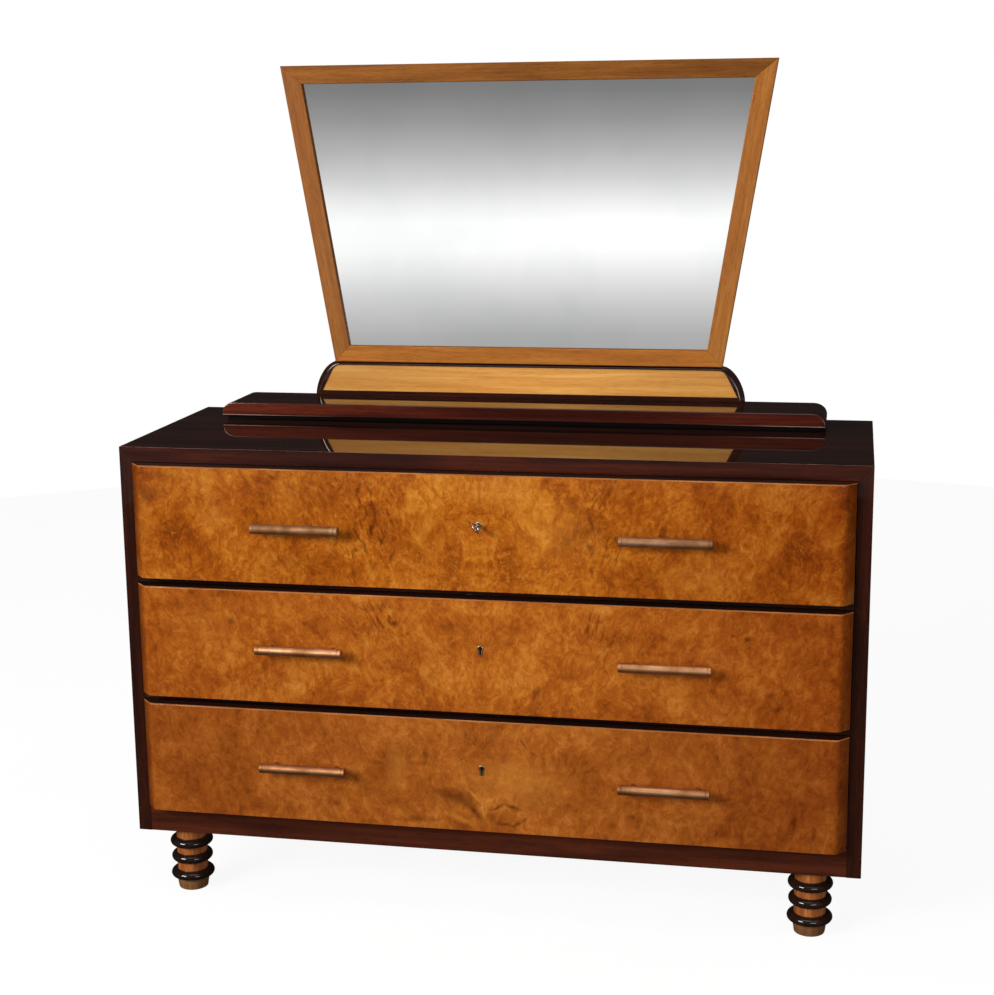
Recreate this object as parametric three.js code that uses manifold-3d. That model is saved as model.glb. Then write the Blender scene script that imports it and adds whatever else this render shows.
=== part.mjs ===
import * as THREE from 'three';
import { mergeVertices } from 'three/addons/utils/BufferGeometryUtils.js';
import Module from 'manifold-3d';

// Dresser with a fixed mirror: three locking drawers on wooden runners in a mitred carcass,
// four turned feet, and a trapezoid mirror on a stepped plinth.
// Millimetres, +Z up, front towards -Y, floor at z = 0.

const wasm = await Module();
wasm.setup();

// Fits shared by all pieces
const seam = 0.3; // glue line, or seat between two pieces that touch
const cutOverrun = 2; // how far a cutter runs past the faces that it opens

// Carcass
const carcassWidth = 1300;
const carcassDepth = 450;
const sideThickness = 25;
const topThickness = 26;
const bottomRailHeight = 50;
const bottomRailThickness = 22;
const bottomBoardThickness = 18;
const backPanelThickness = 6;
const backPanelInset = 2; // from the carcass back to the panel
const dividerThickness = 11.5;
const dividerDepth = 60;
const runnerWidth = 20;

// Drawer fronts
const drawerNames = ['top', 'middle', 'bottom'];
const faceHeight = 203;
const faceReveal = 1; // gap above and below a front
const endReveal = 1.25; // gap at each end of a front
const faceProud = 28; // how far a front stands out of the carcass
const faceInset = 14; // how far it reaches into the opening
const splayWidth = 17.75; // the slanted end, seen from the front
const splayDepth = 20; // the slanted end, seen from above
const splaySoftening = 6; // length of each side of the corner that is rounded away
const topArris = 3;
const bottomArris = 1.5;
const arrisSteps = 3;
const splaySteps = 4;

// Drawer boxes
const boxGap = 3; // between a drawer side and the carcass side
const boxThickness = 12;
const boxTopDrop = 34; // from the front's top edge to the sides' top edge
const boxEndGap = 22; // between the drawer back and the back panel
const boxBottomThickness = 6;
const grooveDepth = 6;
const grooveRise = 8; // from a side's lower edge to its groove

// Handles
const handleLength = 156;
const handleDiameter = 17;
const handleAxisStandOff = 22; // from the drawer face to the bar's axis
const handleCentre = 318; // from the drawer's middle to the bar's middle
const handleCapLength = 6;
const handleGrooveWidth = 2;
const handleGrooveDepth = 1.4;
const handleEdge = 1.2; // chamfer round each end
const handlePostDiameter = 10;
const handlePostSpacing = 110;
const handleSides = 16;
const postSides = 12;

// Keyholes, locks and the key
const linerWidth = 11;
const linerHeight = 19;
const linerSlotWidth = 7.5;
const linerRim = 1.5;
const linerDepth = 6;
const linerProud = 0.4;
const linerCentreRise = 11; // above the middle of the drawer face
const lockWidth = 60;
const lockThickness = 12;
const lockBelowKey = 20; // from the key's axis to the case's lower edge
const lockFrontPlate = 1.5;
const lockBackPlate = 2.5;
const boltWidth = 26;
const boltThickness = 6;
const boltThrow = 7;
const mortiseMargin = 1.5; // round the bolt
const mortiseEndGap = 1; // above the bolt when it is shut
const keyTurn = 40; // degrees, how the key stands from upright
const keyStandOff = 24; // from the drawer face to the bow's centre
const bowDiameter = 22;
const bowWire = 3.2;
const keyShaftDiameter = 5;
const keyCollarDiameter = 7;
const keyCollarLength = 3;
const bitReach = 11; // from the key's axis to the bit's tip
const bitThickness = 2.5;
const bitClearance = 1; // round the bit as it turns
const keySides = 12;
const bowSteps = 20;
const bowWireSides = 8;
const keyholeSteps = 6;
const lockPocketSides = 24;

// Feet
const footHeight = 120;
const footSideInset = 85; // from the carcass end to the foot's axis
const footFrontInset = 40; // from the carcass front or back to the foot's axis
const footSoleRadius = 26.75;
const footCuffRadius = 28.5;
const footCuffHeight = 13.5;
const footStemRadius = 28;
const footSpigotRadius = 17; // glued up inside the carcass, behind the bottom rail
const footSoleEdge = 1.5;
const ringHalfHeight = 9.5;
const lowerRingHeight = 28.5; // from the floor to the ring's middle
const lowerRingRadius = 39.5;
const middleRingHeight = 61.5;
const middleRingRadius = 37.5;
const upperRingHeight = 91.5;
const upperRingRadius = 39;
const ringSteps = 6;
const footSides = 24;

// Step and its base strip
const stepHalfWidth = 566.5;
const stepThickness = 24.5;
const stepFront = 303; // from the carcass front to the step's face
const stepCornerWidth = 25;
const stepCornerHeight = 20;
const stepCornerSteps = 8;
const stepBaseHeight = 8.7;
const stepBaseFrontInset = 8;
const stepBaseEndInset = 9;

// Mirror base and its panel
const baseHeight = 65.5;
const baseThickness = 19;
const baseTopHalfWidth = 373;
const baseSwell = 42; // how far each end swells out towards the foot of the base
const baseSwellPower = 1.7; // 1 is a slanted end, 2 an elliptical one
const baseSwellSteps = 10;
const baseArris = 5;
const panelBottomHalfWidth = 402;
const panelTopHalfWidth = 376;
const panelBottomRise = 8.5;
const panelTopRise = 59;
const panelCornerRadius = 12;
const panelCornerSteps = 5;
const panelThickness = 4;
const panelDrop = 2.5; // from the rim's face down to the panel

// Mirror
const mirrorThickness = 20;
const mirrorBottomHalfWidth = 373;
const mirrorTopHalfWidth = 465;
const mirrorHeight = 558;
const mirrorBottomRailWidth = 30.9;
const mirrorTopRailWidth = 33.7;
const stileFootWidth = 33.8; // level with the glass's lower edge
const stileHeadWidth = 35.7; // level with the glass's upper edge
const rebateWidth = 8;
const frameLip = 8;
const glassThickness = 4;
const backboardThickness = 6;
const battenThickness = 13.7;
const battenWidth = 50;
const battenCentre = 230;
const battenTopShortfall = 8; // from the frame's top edge down to the batten's

// Places worked out from the sizes. y is measured from the carcass front, towards the back.
const carcassHalf = carcassWidth / 2;
const innerHalf = carcassHalf - sideThickness;
const bottomRailTop = footHeight + bottomRailHeight;
const drawerPitch = faceHeight + 2 * faceReveal + dividerThickness;
const lowestFaceBottom = bottomRailTop + faceReveal;
const drawersBelow = (i) => drawerNames.length - 1 - i;
const faceBottoms = drawerNames.map((name, i) => lowestFaceBottom + drawersBelow(i) * drawerPitch);
const openingTop = faceBottoms[0] + faceHeight + faceReveal;
const carcassTop = openingTop + topThickness;
const backPanelRear = carcassDepth - backPanelInset;
const backPanelFront = backPanelRear - backPanelThickness;
const lockBack = faceInset;
const lockFront = lockBack - lockThickness;
const boltBack = lockBack - lockBackPlate - seam;
const boltFront = boltBack - boltThickness;
const mirrorBack = carcassDepth - battenThickness - seam;

// Finishes
const finishes = {
  ebonised: new THREE.MeshStandardMaterial({ color: '#241613', roughness: 0.18, metalness: 0 }),
  redWalnut: new THREE.MeshStandardMaterial({ color: '#5a2614', roughness: 0.22, metalness: 0 }),
  burl: new THREE.MeshStandardMaterial({ color: '#a85e1a', roughness: 0.28, metalness: 0 }),
  lightWalnut: new THREE.MeshStandardMaterial({ color: '#a86a30', roughness: 0.35, metalness: 0 }),
  paleWalnut: new THREE.MeshStandardMaterial({ color: '#cf9448', roughness: 0.3, metalness: 0 }),
  plainWood: new THREE.MeshStandardMaterial({ color: '#b08a5c', roughness: 0.7, metalness: 0 }),
  plywood: new THREE.MeshStandardMaterial({ color: '#9a7248', roughness: 0.75, metalness: 0 }),
  copper: new THREE.MeshStandardMaterial({ color: '#a9744c', roughness: 0.3, metalness: 1 }),
  brass: new THREE.MeshStandardMaterial({ color: '#b5904e', roughness: 0.35, metalness: 1 }),
  steel: new THREE.MeshStandardMaterial({ color: '#b9aaa4', roughness: 0.3, metalness: 1 }),
  silvered: new THREE.MeshStandardMaterial({ color: '#dfe3e2', roughness: 0.02, metalness: 1 }),
};

// Geometry helpers

// A closed geometry as a solid that can be joined and cut.
function solidOf(geometry) {
  const bare = geometry.clone();
  bare.deleteAttribute('normal');
  bare.deleteAttribute('uv');
  const merged = mergeVertices(bare);
  return new wasm.Manifold(
    new wasm.Mesh({
      numProp: 3,
      vertProperties: Float32Array.from(merged.attributes.position.array),
      triVerts: Uint32Array.from(merged.index.array),
    }),
  );
}

function geometryOf(solid) {
  const mesh = solid.getMesh();
  const geometry = new THREE.BufferGeometry();
  geometry.setAttribute('position', new THREE.BufferAttribute(mesh.vertProperties, 3));
  geometry.setIndex(new THREE.BufferAttribute(mesh.triVerts, 1));
  geometry.computeVertexNormals();
  return geometry;
}

function cut(geometry, ...cutters) {
  return geometryOf(cutters.reduce((left, cutter) => left.subtract(solidOf(cutter)), solidOf(geometry)));
}

function join(...geometries) {
  return geometryOf(geometries.map(solidOf).reduce((whole, next) => whole.add(next)));
}

// A rectangular block between two limits along each axis.
function block([x0, x1], [y0, y1], [z0, z1]) {
  const geometry = new THREE.BoxGeometry(x1 - x0, y1 - y0, z1 - z0);
  return geometry.translate((x0 + x1) / 2, (y0 + y1) / 2, (z0 + z1) / 2);
}

// A front-view outline, with x across and z up, given depth from yFront to yBack.
function boardFrom(shape, yFront, yBack, curveSegments) {
  const geometry = new THREE.ExtrudeGeometry(shape, {
    depth: yBack - yFront,
    bevelEnabled: false,
    curveSegments,
  });
  return geometry.rotateX(Math.PI / 2).translate(0, yBack, 0);
}

function polygon(points) {
  return new THREE.Shape(points.map(([x, z]) => new THREE.Vector2(x, z)));
}

// A body turned about an upright axis. The profile lists [radius, height] from the axis to the axis.
function turned(profile, sides) {
  const points = profile.map(([radius, height]) => new THREE.Vector2(radius, height));
  return new THREE.LatheGeometry(points, sides).rotateX(Math.PI / 2);
}

// A round rod along y between two limits.
function rodAlongY(radius, yStart, yEnd, sides) {
  const rod = new THREE.CylinderGeometry(radius, radius, yEnd - yStart, sides);
  return rod.translate(0, (yStart + yEnd) / 2, 0);
}

// The same piece for the other hand.
function mirroredInX(geometry) {
  const copy = geometry.clone().scale(-1, 1, 1);
  const corners = copy.index ? [...copy.index.array] : [...copy.attributes.position.array.keys()];
  const count = copy.index ? corners.length : copy.attributes.position.count;
  const index = [];
  for (let i = 0; i < count; i += 3) index.push(corners[i], corners[i + 2], corners[i + 1]);
  copy.setIndex(index);
  copy.computeVertexNormals();
  return copy;
}

// The ring's corners on the two axes in which it lies flattest.
function flattened(ring) {
  const normal = new THREE.Vector3();
  ring.forEach((point, i) => normal.add(point.clone().cross(ring[(i + 1) % ring.length])));
  const [x, y, z] = normal.toArray().map(Math.abs);
  if (z >= x && z >= y) return ring.map((point) => new THREE.Vector2(point.x, point.y));
  if (y >= x) return ring.map((point) => new THREE.Vector2(point.x, point.z));
  return ring.map((point) => new THREE.Vector2(point.y, point.z));
}

// A cap over a ring, wound the same way round as the ring.
function capOf(ring) {
  const flat = flattened(ring);
  const [a, b, c] = THREE.ShapeUtils.triangulateShape(flat, [])[0];
  const sameWay = THREE.ShapeUtils.area([flat[a], flat[b], flat[c]]) * THREE.ShapeUtils.area(flat) > 0;
  return THREE.ShapeUtils.triangulateShape(flat, []).map((face) => (sameWay ? face : [...face].reverse()));
}

// A closed body through rings that have the same number of corners.
function loft(rings) {
  const corners = rings[0].length;
  const faces = [];
  for (let level = 0; level < rings.length - 1; level += 1) {
    for (let i = 0; i < corners; i += 1) {
      const near = level * corners + i;
      const next = level * corners + ((i + 1) % corners);
      faces.push([near, next, next + corners], [near, next + corners, near + corners]);
    }
  }
  const last = (rings.length - 1) * corners;
  capOf(rings[0]).forEach(([a, b, c]) => faces.push([c, b, a]));
  capOf(rings[rings.length - 1]).forEach(([a, b, c]) => faces.push([last + a, last + b, last + c]));
  const geometry = new THREE.BufferGeometry().setFromPoints(rings.flat());
  geometry.setIndex(faces.flat());
  const points = rings.flat();
  const signedVolume = (sum, [a, b, c]) => sum + points[a].dot(points[b].clone().cross(points[c]));
  const volume = faces.reduce(signedVolume, 0);
  if (volume < 0) geometry.setIndex(faces.map(([a, b, c]) => [a, c, b]).flat());
  geometry.computeVertexNormals();
  return geometry;
}

// The sizes taken off and the heights lost along a quarter round, from the flat edge to the face.
function quarterRound(radius, steps) {
  return Array.from({ length: steps + 1 }, (unused, i) => {
    const angle = (i / steps) * (Math.PI / 2);
    return { setBack: radius * (1 - Math.sin(angle)), drop: radius * (1 - Math.cos(angle)) };
  });
}

function add(parent, name, geometry, material) {
  const mesh = new THREE.Mesh(geometry, material);
  mesh.name = name;
  parent.add(mesh);
  return mesh;
}

const dresser = new THREE.Group();

// Carcass

const mitreRun = Math.hypot(sideThickness, topThickness);
const mitreShift = (seam * mitreRun) / topThickness; // opens the mitre by one seam

function carcassSide() {
  const outline = polygon([
    [innerHalf, footHeight],
    [carcassHalf, footHeight],
    [carcassHalf, carcassTop],
    [innerHalf, openingTop],
  ]);
  return boardFrom(outline, 0, carcassDepth);
}

// Room for a bolt in the underside of what lies over a drawer.
function boltMortise(underside) {
  const half = boltWidth / 2 + mortiseMargin;
  return block(
    [-half, half],
    [boltFront - mortiseMargin, boltBack + mortiseMargin],
    [underside - cutOverrun, underside + boltThrow + mortiseEndGap],
  );
}

function buildCarcass() {
  const carcass = new THREE.Group();
  dresser.add(carcass);
  const side = carcassSide();
  add(carcass, 'right_side', side, finishes.ebonised);
  add(carcass, 'left_side', mirroredInX(side), finishes.ebonised);

  const topOutline = polygon([
    [-innerHalf + mitreShift, openingTop],
    [innerHalf - mitreShift, openingTop],
    [carcassHalf - mitreShift, carcassTop],
    [-carcassHalf + mitreShift, carcassTop],
  ]);
  const topBoard = cut(boardFrom(topOutline, 0, carcassDepth), boltMortise(openingTop));
  add(carcass, 'top_board', topBoard, finishes.ebonised);

  const between = [-innerHalf + seam, innerHalf - seam];
  const rail = block(between, [0, bottomRailThickness], [footHeight, bottomRailTop]);
  add(carcass, 'bottom_rail', rail, finishes.ebonised);
  const bottomBoard = block(
    between,
    [bottomRailThickness + seam, backPanelFront - seam],
    [bottomRailTop - bottomBoardThickness, bottomRailTop],
  );
  add(carcass, 'bottom_board', bottomBoard, finishes.plainWood);
  const backPanel = block(between, [backPanelFront, backPanelRear], [footHeight, openingTop - seam]);
  add(carcass, 'back_panel', backPanel, finishes.plywood);

  ['upper', 'lower'].forEach((place, i) => {
    const railTop = faceBottoms[i] - faceReveal;
    const heights = [railTop - dividerThickness, railTop];
    const divider = cut(block(between, [0, dividerDepth], heights), boltMortise(heights[0]));
    add(carcass, `${place}_divider_rail`, divider, finishes.ebonised);
    const runner = block(
      [innerHalf - seam - runnerWidth, innerHalf - seam],
      [dividerDepth + seam, backPanelFront - seam],
      heights,
    );
    add(carcass, `${place}_right_runner`, runner, finishes.plainWood);
    add(carcass, `${place}_left_runner`, mirroredInX(runner), finishes.plainWood);
  });
}

// Feet

const footRings = [
  { height: lowerRingHeight, radius: lowerRingRadius },
  { height: middleRingHeight, radius: middleRingRadius },
  { height: upperRingHeight, radius: upperRingRadius },
];

// One turned foot: tapered sole, three half-round rings on a stem, and a spigot up to the bottom board.
function footProfile() {
  const profile = [
    [0, 0],
    [footSoleRadius - footSoleEdge, 0],
    [footSoleRadius, footSoleEdge],
    [footCuffRadius, footCuffHeight],
    [footStemRadius, footCuffHeight],
  ];
  footRings.forEach(({ height, radius }) => {
    const swell = radius - footStemRadius;
    for (let i = 0; i <= ringSteps; i += 1) {
      const angle = (i / ringSteps - 0.5) * Math.PI;
      profile.push([footStemRadius + swell * Math.cos(angle), height + ringHalfHeight * Math.sin(angle)]);
    }
  });
  const shoulder = footHeight - seam;
  const spigotTop = bottomRailTop - bottomBoardThickness - seam;
  profile.push([footStemRadius, shoulder], [footSpigotRadius, shoulder]);
  profile.push([footSpigotRadius, spigotTop], [0, spigotTop]);
  return profile;
}

function buildFeet() {
  const foot = turned(footProfile(), footSides);
  const footX = carcassHalf - footSideInset;
  const places = { front: footFrontInset, back: carcassDepth - footFrontInset };
  Object.entries(places).forEach(([row, y]) => {
    add(dresser, `${row}_left_foot`, foot, finishes.ebonised).position.set(-footX, y, 0);
    add(dresser, `${row}_right_foot`, foot, finishes.ebonised).position.set(footX, y, 0);
  });
}

// Drawers. Each is built in its own frame, with z = 0 at the lower edge of its front.

const faceHalf = innerHalf - endReveal;
const boxHalf = innerHalf - boxGap;
const boxBottomEdge = seam - faceReveal;
const boxTopEdge = faceHeight - boxTopDrop;
const boxEnd = backPanelFront - boxEndGap;
const grooveBottom = boxBottomEdge + grooveRise;
const grooveTop = grooveBottom + boxBottomThickness + 2 * seam;
const keyAxis = faceHeight / 2 + linerCentreRise + linerHeight / 2 - linerWidth / 2;

// The keyhole's outline grown by `growth` on all sides, given depth from yFront to yBack.
function keyholeThrough(growth, yFront, yBack) {
  const round = linerWidth / 2 + growth;
  const slot = linerSlotWidth / 2 + growth;
  const slotCentre = keyAxis - linerHeight + linerWidth / 2 + linerSlotWidth / 2;
  const shoulder = Math.asin(slot / round);
  const shape = new THREE.Shape();
  shape.absarc(0, keyAxis, round, shoulder - Math.PI / 2, Math.PI * 1.5 - shoulder, false);
  shape.absarc(0, slotCentre, slot, Math.PI, 2 * Math.PI, false);
  return boardFrom(shape, yFront, yBack, keyholeSteps);
}

// Plan of a drawer front, with its front part set back by `setBack`.
function facePlan(height, setBack) {
  const face = -faceProud + setBack;
  const splayStart = new THREE.Vector2(faceHalf, face + splayDepth);
  const corner = new THREE.Vector2(faceHalf - splayWidth, face);
  const onSplay = corner.clone().add(splayStart.clone().sub(corner).setLength(splaySoftening));
  const onFace = new THREE.Vector2(corner.x - splaySoftening, face);
  const rounding = new THREE.QuadraticBezierCurve(onSplay, corner, onFace).getPoints(splaySteps);
  const rightHalf = [new THREE.Vector2(faceHalf, faceInset), splayStart, ...rounding];
  const leftHalf = rightHalf.map((point) => new THREE.Vector2(-point.x, point.y)).reverse();
  return [...rightHalf, ...leftHalf].map((point) => new THREE.Vector3(point.x, point.y, height));
}

function faceBlank() {
  const lower = quarterRound(bottomArris, arrisSteps);
  const upper = quarterRound(topArris, arrisSteps).reverse();
  return loft([
    ...lower.map(({ setBack, drop }) => facePlan(drop, setBack)),
    ...upper.map(({ setBack, drop }) => facePlan(faceHeight - drop, setBack)),
  ]);
}

function faceGeometry() {
  const face = -faceProud;
  const linerSeat = keyholeThrough(seam, face - cutOverrun, face + linerDepth);
  const keyPath = keyholeThrough(-linerRim, face, lockFront);
  const lockRecess = block(
    [-lockWidth / 2 - seam, lockWidth / 2 + seam],
    [lockFront - seam, faceInset + cutOverrun],
    [keyAxis - lockBelowKey - seam, faceHeight + cutOverrun],
  );
  const groove = block(
    [-boxHalf + boxThickness - grooveDepth, boxHalf - boxThickness + grooveDepth],
    [faceInset - grooveDepth, faceInset + cutOverrun],
    [grooveBottom, grooveTop],
  );
  return cut(faceBlank(), linerSeat, keyPath, lockRecess, groove);
}

function drawerSideGeometry() {
  const inner = boxHalf - boxThickness;
  const outline = polygon([
    [inner, boxBottomEdge],
    [boxHalf, boxBottomEdge],
    [boxHalf, boxTopEdge],
    [inner, boxTopEdge],
    [inner, grooveTop],
    [inner + grooveDepth, grooveTop],
    [inner + grooveDepth, grooveBottom],
    [inner, grooveBottom],
  ]);
  return boardFrom(outline, faceInset + seam, boxEnd);
}

function drawerBottomGeometry() {
  const half = boxHalf - boxThickness + grooveDepth - seam;
  return block(
    [-half, half],
    [faceInset - grooveDepth + seam, boxEnd],
    [grooveBottom + seam, grooveTop - seam],
  );
}

function drawerBackGeometry() {
  const half = boxHalf - boxThickness - seam;
  return block([-half, half], [boxEnd - boxThickness, boxEnd], [grooveTop, boxTopEdge]);
}

// A bar with a groove before each end cap, and two posts that stand on the drawer face.
function handleGeometry() {
  const half = handleLength / 2;
  const radius = handleDiameter / 2;
  const capInner = half - handleCapLength;
  const waist = radius - handleGrooveDepth;
  const halfProfile = [
    [0, half],
    [radius - handleEdge, half],
    [radius, half - handleEdge],
    [radius, capInner],
    [waist, capInner - handleGrooveWidth / 2],
    [radius, capInner - handleGrooveWidth],
  ];
  const lowerHalf = halfProfile.map(([r, along]) => [r, -along]);
  const bar = turned([...lowerHalf, ...halfProfile.reverse()], handleSides).rotateY(Math.PI / 2);
  const postLength = handleAxisStandOff - seam;
  const posts = [-1, 1].map((end) => {
    const post = rodAlongY(handlePostDiameter / 2, 0, postLength, postSides);
    return post.translate((end * handlePostSpacing) / 2, 0, 0);
  });
  return join(bar, ...posts);
}

function linerGeometry() {
  const face = -faceProud;
  const outer = keyholeThrough(0, face - linerProud, face + linerDepth - seam);
  const opening = keyholeThrough(-linerRim, face - cutOverrun, face + linerDepth + cutOverrun);
  return cut(outer, opening);
}

// Room in the case for the key's bit to turn, and for the bolt that it lifts.
function lockCaseGeometry() {
  const blank = block(
    [-lockWidth / 2, lockWidth / 2],
    [lockFront, lockBack],
    [keyAxis - lockBelowKey, faceHeight],
  );
  const pocketFront = lockFront + lockFrontPlate;
  const pocketBack = lockBack - lockBackPlate;
  const keyPocket = rodAlongY(bitReach + bitClearance, pocketFront, pocketBack, lockPocketSides);
  keyPocket.translate(0, 0, keyAxis);
  const boltPocket = block(
    [-boltWidth / 2 - seam, boltWidth / 2 + seam],
    [boltFront - seam, boltBack + seam],
    [keyAxis, faceHeight + cutOverrun],
  );
  const keyPath = keyholeThrough(-linerRim, lockFront - cutOverrun, pocketFront + seam);
  return cut(blank, keyPocket, boltPocket, keyPath);
}

// Drawn back, the bolt lies just under the front's top edge. Its foot clears the key's bit.
function boltGeometry() {
  return block(
    [-boltWidth / 2, boltWidth / 2],
    [boltFront, boltBack],
    [keyAxis + bitReach / 2, faceHeight - seam],
  );
}

// Ring bow, collar, shaft and bit along y, upright: the bow's centre is the origin.
function keyGeometry() {
  const wire = bowWire / 2;
  const bow = new THREE.TorusGeometry(bowDiameter / 2 - wire, wire, bowWireSides, bowSteps);
  bow.rotateY(Math.PI / 2);
  const carcassFront = keyStandOff + faceProud;
  const shaftEnd = carcassFront + lockBack - lockBackPlate - seam;
  const shaft = rodAlongY(keyShaftDiameter / 2, bowDiameter / 2 - wire, shaftEnd, keySides);
  const collarStart = bowDiameter / 2;
  const collar = rodAlongY(keyCollarDiameter / 2, collarStart, collarStart + keyCollarLength, keySides);
  const bitStart = carcassFront + lockFront + lockFrontPlate + seam;
  const bit = block([-bitThickness / 2, bitThickness / 2], [bitStart, shaftEnd], [-bitReach, 0]);
  return join(bow, shaft, collar, bit);
}

function buildDrawers() {
  const pieces = {
    front: faceGeometry(),
    right_side: drawerSideGeometry(),
    back: drawerBackGeometry(),
    bottom: drawerBottomGeometry(),
    handle: handleGeometry(),
    keyhole_liner: linerGeometry(),
    lock_case: lockCaseGeometry(),
    lock_bolt: boltGeometry(),
  };
  pieces.left_side = mirroredInX(pieces.right_side);
  drawerNames.forEach((name, i) => {
    const drawer = new THREE.Group();
    drawer.position.z = faceBottoms[i];
    dresser.add(drawer);
    const node = (piece) => `${name}_drawer_${piece}`;
    add(drawer, node('front'), pieces.front, finishes.burl);
    ['left_side', 'right_side', 'back'].forEach((piece) => {
      add(drawer, node(piece), pieces[piece], finishes.plainWood);
    });
    add(drawer, node('bottom'), pieces.bottom, finishes.plywood);
    add(drawer, node('keyhole_liner'), pieces.keyhole_liner, finishes.brass);
    add(drawer, node('lock_case'), pieces.lock_case, finishes.brass);
    add(drawer, node('lock_bolt'), pieces.lock_bolt, finishes.steel);
    const handleY = -faceProud - handleAxisStandOff;
    const left = add(drawer, node('left_handle'), pieces.handle, finishes.copper);
    left.position.set(-handleCentre, handleY, faceHeight / 2);
    const right = add(drawer, node('right_handle'), pieces.handle, finishes.copper);
    right.position.set(handleCentre, handleY, faceHeight / 2);
    if (i === 0) {
      const key = add(drawer, 'key', keyGeometry(), finishes.steel);
      key.position.set(0, -faceProud - keyStandOff, keyAxis);
      key.rotation.y = THREE.MathUtils.degToRad(-keyTurn);
    }
  });
}

// Step

const stepBaseBottom = carcassTop + seam;
const stepBottom = stepBaseBottom + stepBaseHeight + seam;
const stepTop = stepBottom + stepThickness;

function buildStep() {
  const baseHalf = stepHalfWidth - stepBaseEndInset;
  const base = block(
    [-baseHalf, baseHalf],
    [stepFront + stepBaseFrontInset, mirrorBack],
    [stepBaseBottom, stepBaseBottom + stepBaseHeight],
  );
  add(dresser, 'step_base', base, finishes.ebonised);

  const flatHalf = stepHalfWidth - stepCornerWidth;
  const cornerZ = stepTop - stepCornerHeight;
  const outline = new THREE.Shape();
  outline.moveTo(-stepHalfWidth, stepBottom);
  outline.lineTo(stepHalfWidth, stepBottom);
  outline.absellipse(flatHalf, cornerZ, stepCornerWidth, stepCornerHeight, 0, Math.PI / 2, false);
  outline.absellipse(-flatHalf, cornerZ, stepCornerWidth, stepCornerHeight, Math.PI / 2, Math.PI, false);
  add(dresser, 'step_board', boardFrom(outline, stepFront, mirrorBack, stepCornerSteps), finishes.redWalnut);
}

// Mirror base

const baseBottom = stepTop + seam;
const baseFront = mirrorBack - baseThickness;
const baseHalf = baseTopHalfWidth + baseSwell;

// Front-view ring of the base at depth y, drawn in by `setBack` at its top and ends.
function baseRing(y, setBack) {
  const across = (baseHalf - setBack) / baseHalf;
  const up = (baseHeight - setBack) / baseHeight;
  const rightEnd = Array.from({ length: baseSwellSteps + 1 }, (unused, i) => {
    const angle = (i / baseSwellSteps) * (Math.PI / 2);
    const out = Math.cos(angle) ** (2 / baseSwellPower);
    const rise = Math.sin(angle) ** (2 / baseSwellPower);
    return [baseTopHalfWidth + baseSwell * out, baseHeight * rise];
  });
  const leftEnd = rightEnd.map(([x, rise]) => [-x, rise]).reverse();
  const points = [...rightEnd, ...leftEnd];
  return points.map(([x, rise]) => new THREE.Vector3(x * across, y, baseBottom + rise * up));
}

// Front-view outline of the light panel, grown by `growth`, with its upper corners rounded.
function panelShape(growth) {
  const bottom = baseBottom + panelBottomRise - growth;
  const top = baseBottom + panelTopRise + growth;
  const foot = new THREE.Vector2(panelBottomHalfWidth + growth, bottom);
  const head = new THREE.Vector2(panelTopHalfWidth + growth, top);
  const onEnd = head.clone().add(foot.clone().sub(head).setLength(panelCornerRadius));
  const onTop = new THREE.Vector2(head.x - panelCornerRadius, top);
  const corner = new THREE.QuadraticBezierCurve(onEnd, head, onTop).getPoints(panelCornerSteps);
  const right = [foot, ...corner];
  const left = right.map((point) => new THREE.Vector2(-point.x, point.y)).reverse();
  return new THREE.Shape([...right, ...left]);
}

function buildMirrorBase() {
  const arris = quarterRound(baseArris, arrisSteps);
  const rings = arris.map(({ setBack, drop }) => baseRing(baseFront + drop, setBack));
  rings.push(baseRing(mirrorBack, 0));
  const panelFront = baseFront + panelDrop;
  const panelBack = panelFront + panelThickness;
  const recess = boardFrom(panelShape(seam), baseFront - cutOverrun, panelBack + seam);
  add(dresser, 'mirror_base', cut(loft(rings), recess), finishes.ebonised);
  add(dresser, 'mirror_base_panel', boardFrom(panelShape(0), panelFront, panelBack), finishes.paleWalnut);
}

// Mirror

const mirrorBottom = baseBottom + baseHeight + seam;
const mirrorTop = mirrorBottom + mirrorHeight;
const mirrorFront = mirrorBack - mirrorThickness;
const glassFront = mirrorFront + frameLip + seam;
const glassBack = glassFront + glassThickness;

// Right-hand corners of the frame, seen from the front.
function frameCorner(atTop) {
  const outerZ = atTop ? mirrorTop : mirrorBottom;
  const outerX = atTop ? mirrorTopHalfWidth : mirrorBottomHalfWidth;
  const innerZ = atTop ? mirrorTop - mirrorTopRailWidth : mirrorBottom + mirrorBottomRailWidth;
  const slope = (mirrorTopHalfWidth - mirrorBottomHalfWidth) / mirrorHeight;
  const stileWidth = atTop ? stileHeadWidth : stileFootWidth;
  const innerX = mirrorBottomHalfWidth + slope * (innerZ - mirrorBottom) - stileWidth;
  const outer = new THREE.Vector2(outerX, outerZ);
  const sight = new THREE.Vector2(innerX, innerZ);
  const rebateShare = rebateWidth / Math.abs(outerZ - innerZ);
  return { outer, sight, rebate: sight.clone().lerp(outer, rebateShare) };
}

const footCorner = frameCorner(false);
const headCorner = frameCorner(true);

// The rail's section at one mitre, moved along by [x, z].
function mitreRing({ outer, sight, rebate }, side, [shiftX, shiftZ]) {
  const section = [
    [outer, mirrorFront],
    [outer, mirrorBack],
    [rebate, mirrorBack],
    [rebate, mirrorFront + frameLip],
    [sight, mirrorFront + frameLip],
    [sight, mirrorFront],
  ];
  return section.map(([point, y]) => new THREE.Vector3(side * (point.x + shiftX), y, point.y + shiftZ));
}

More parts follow.
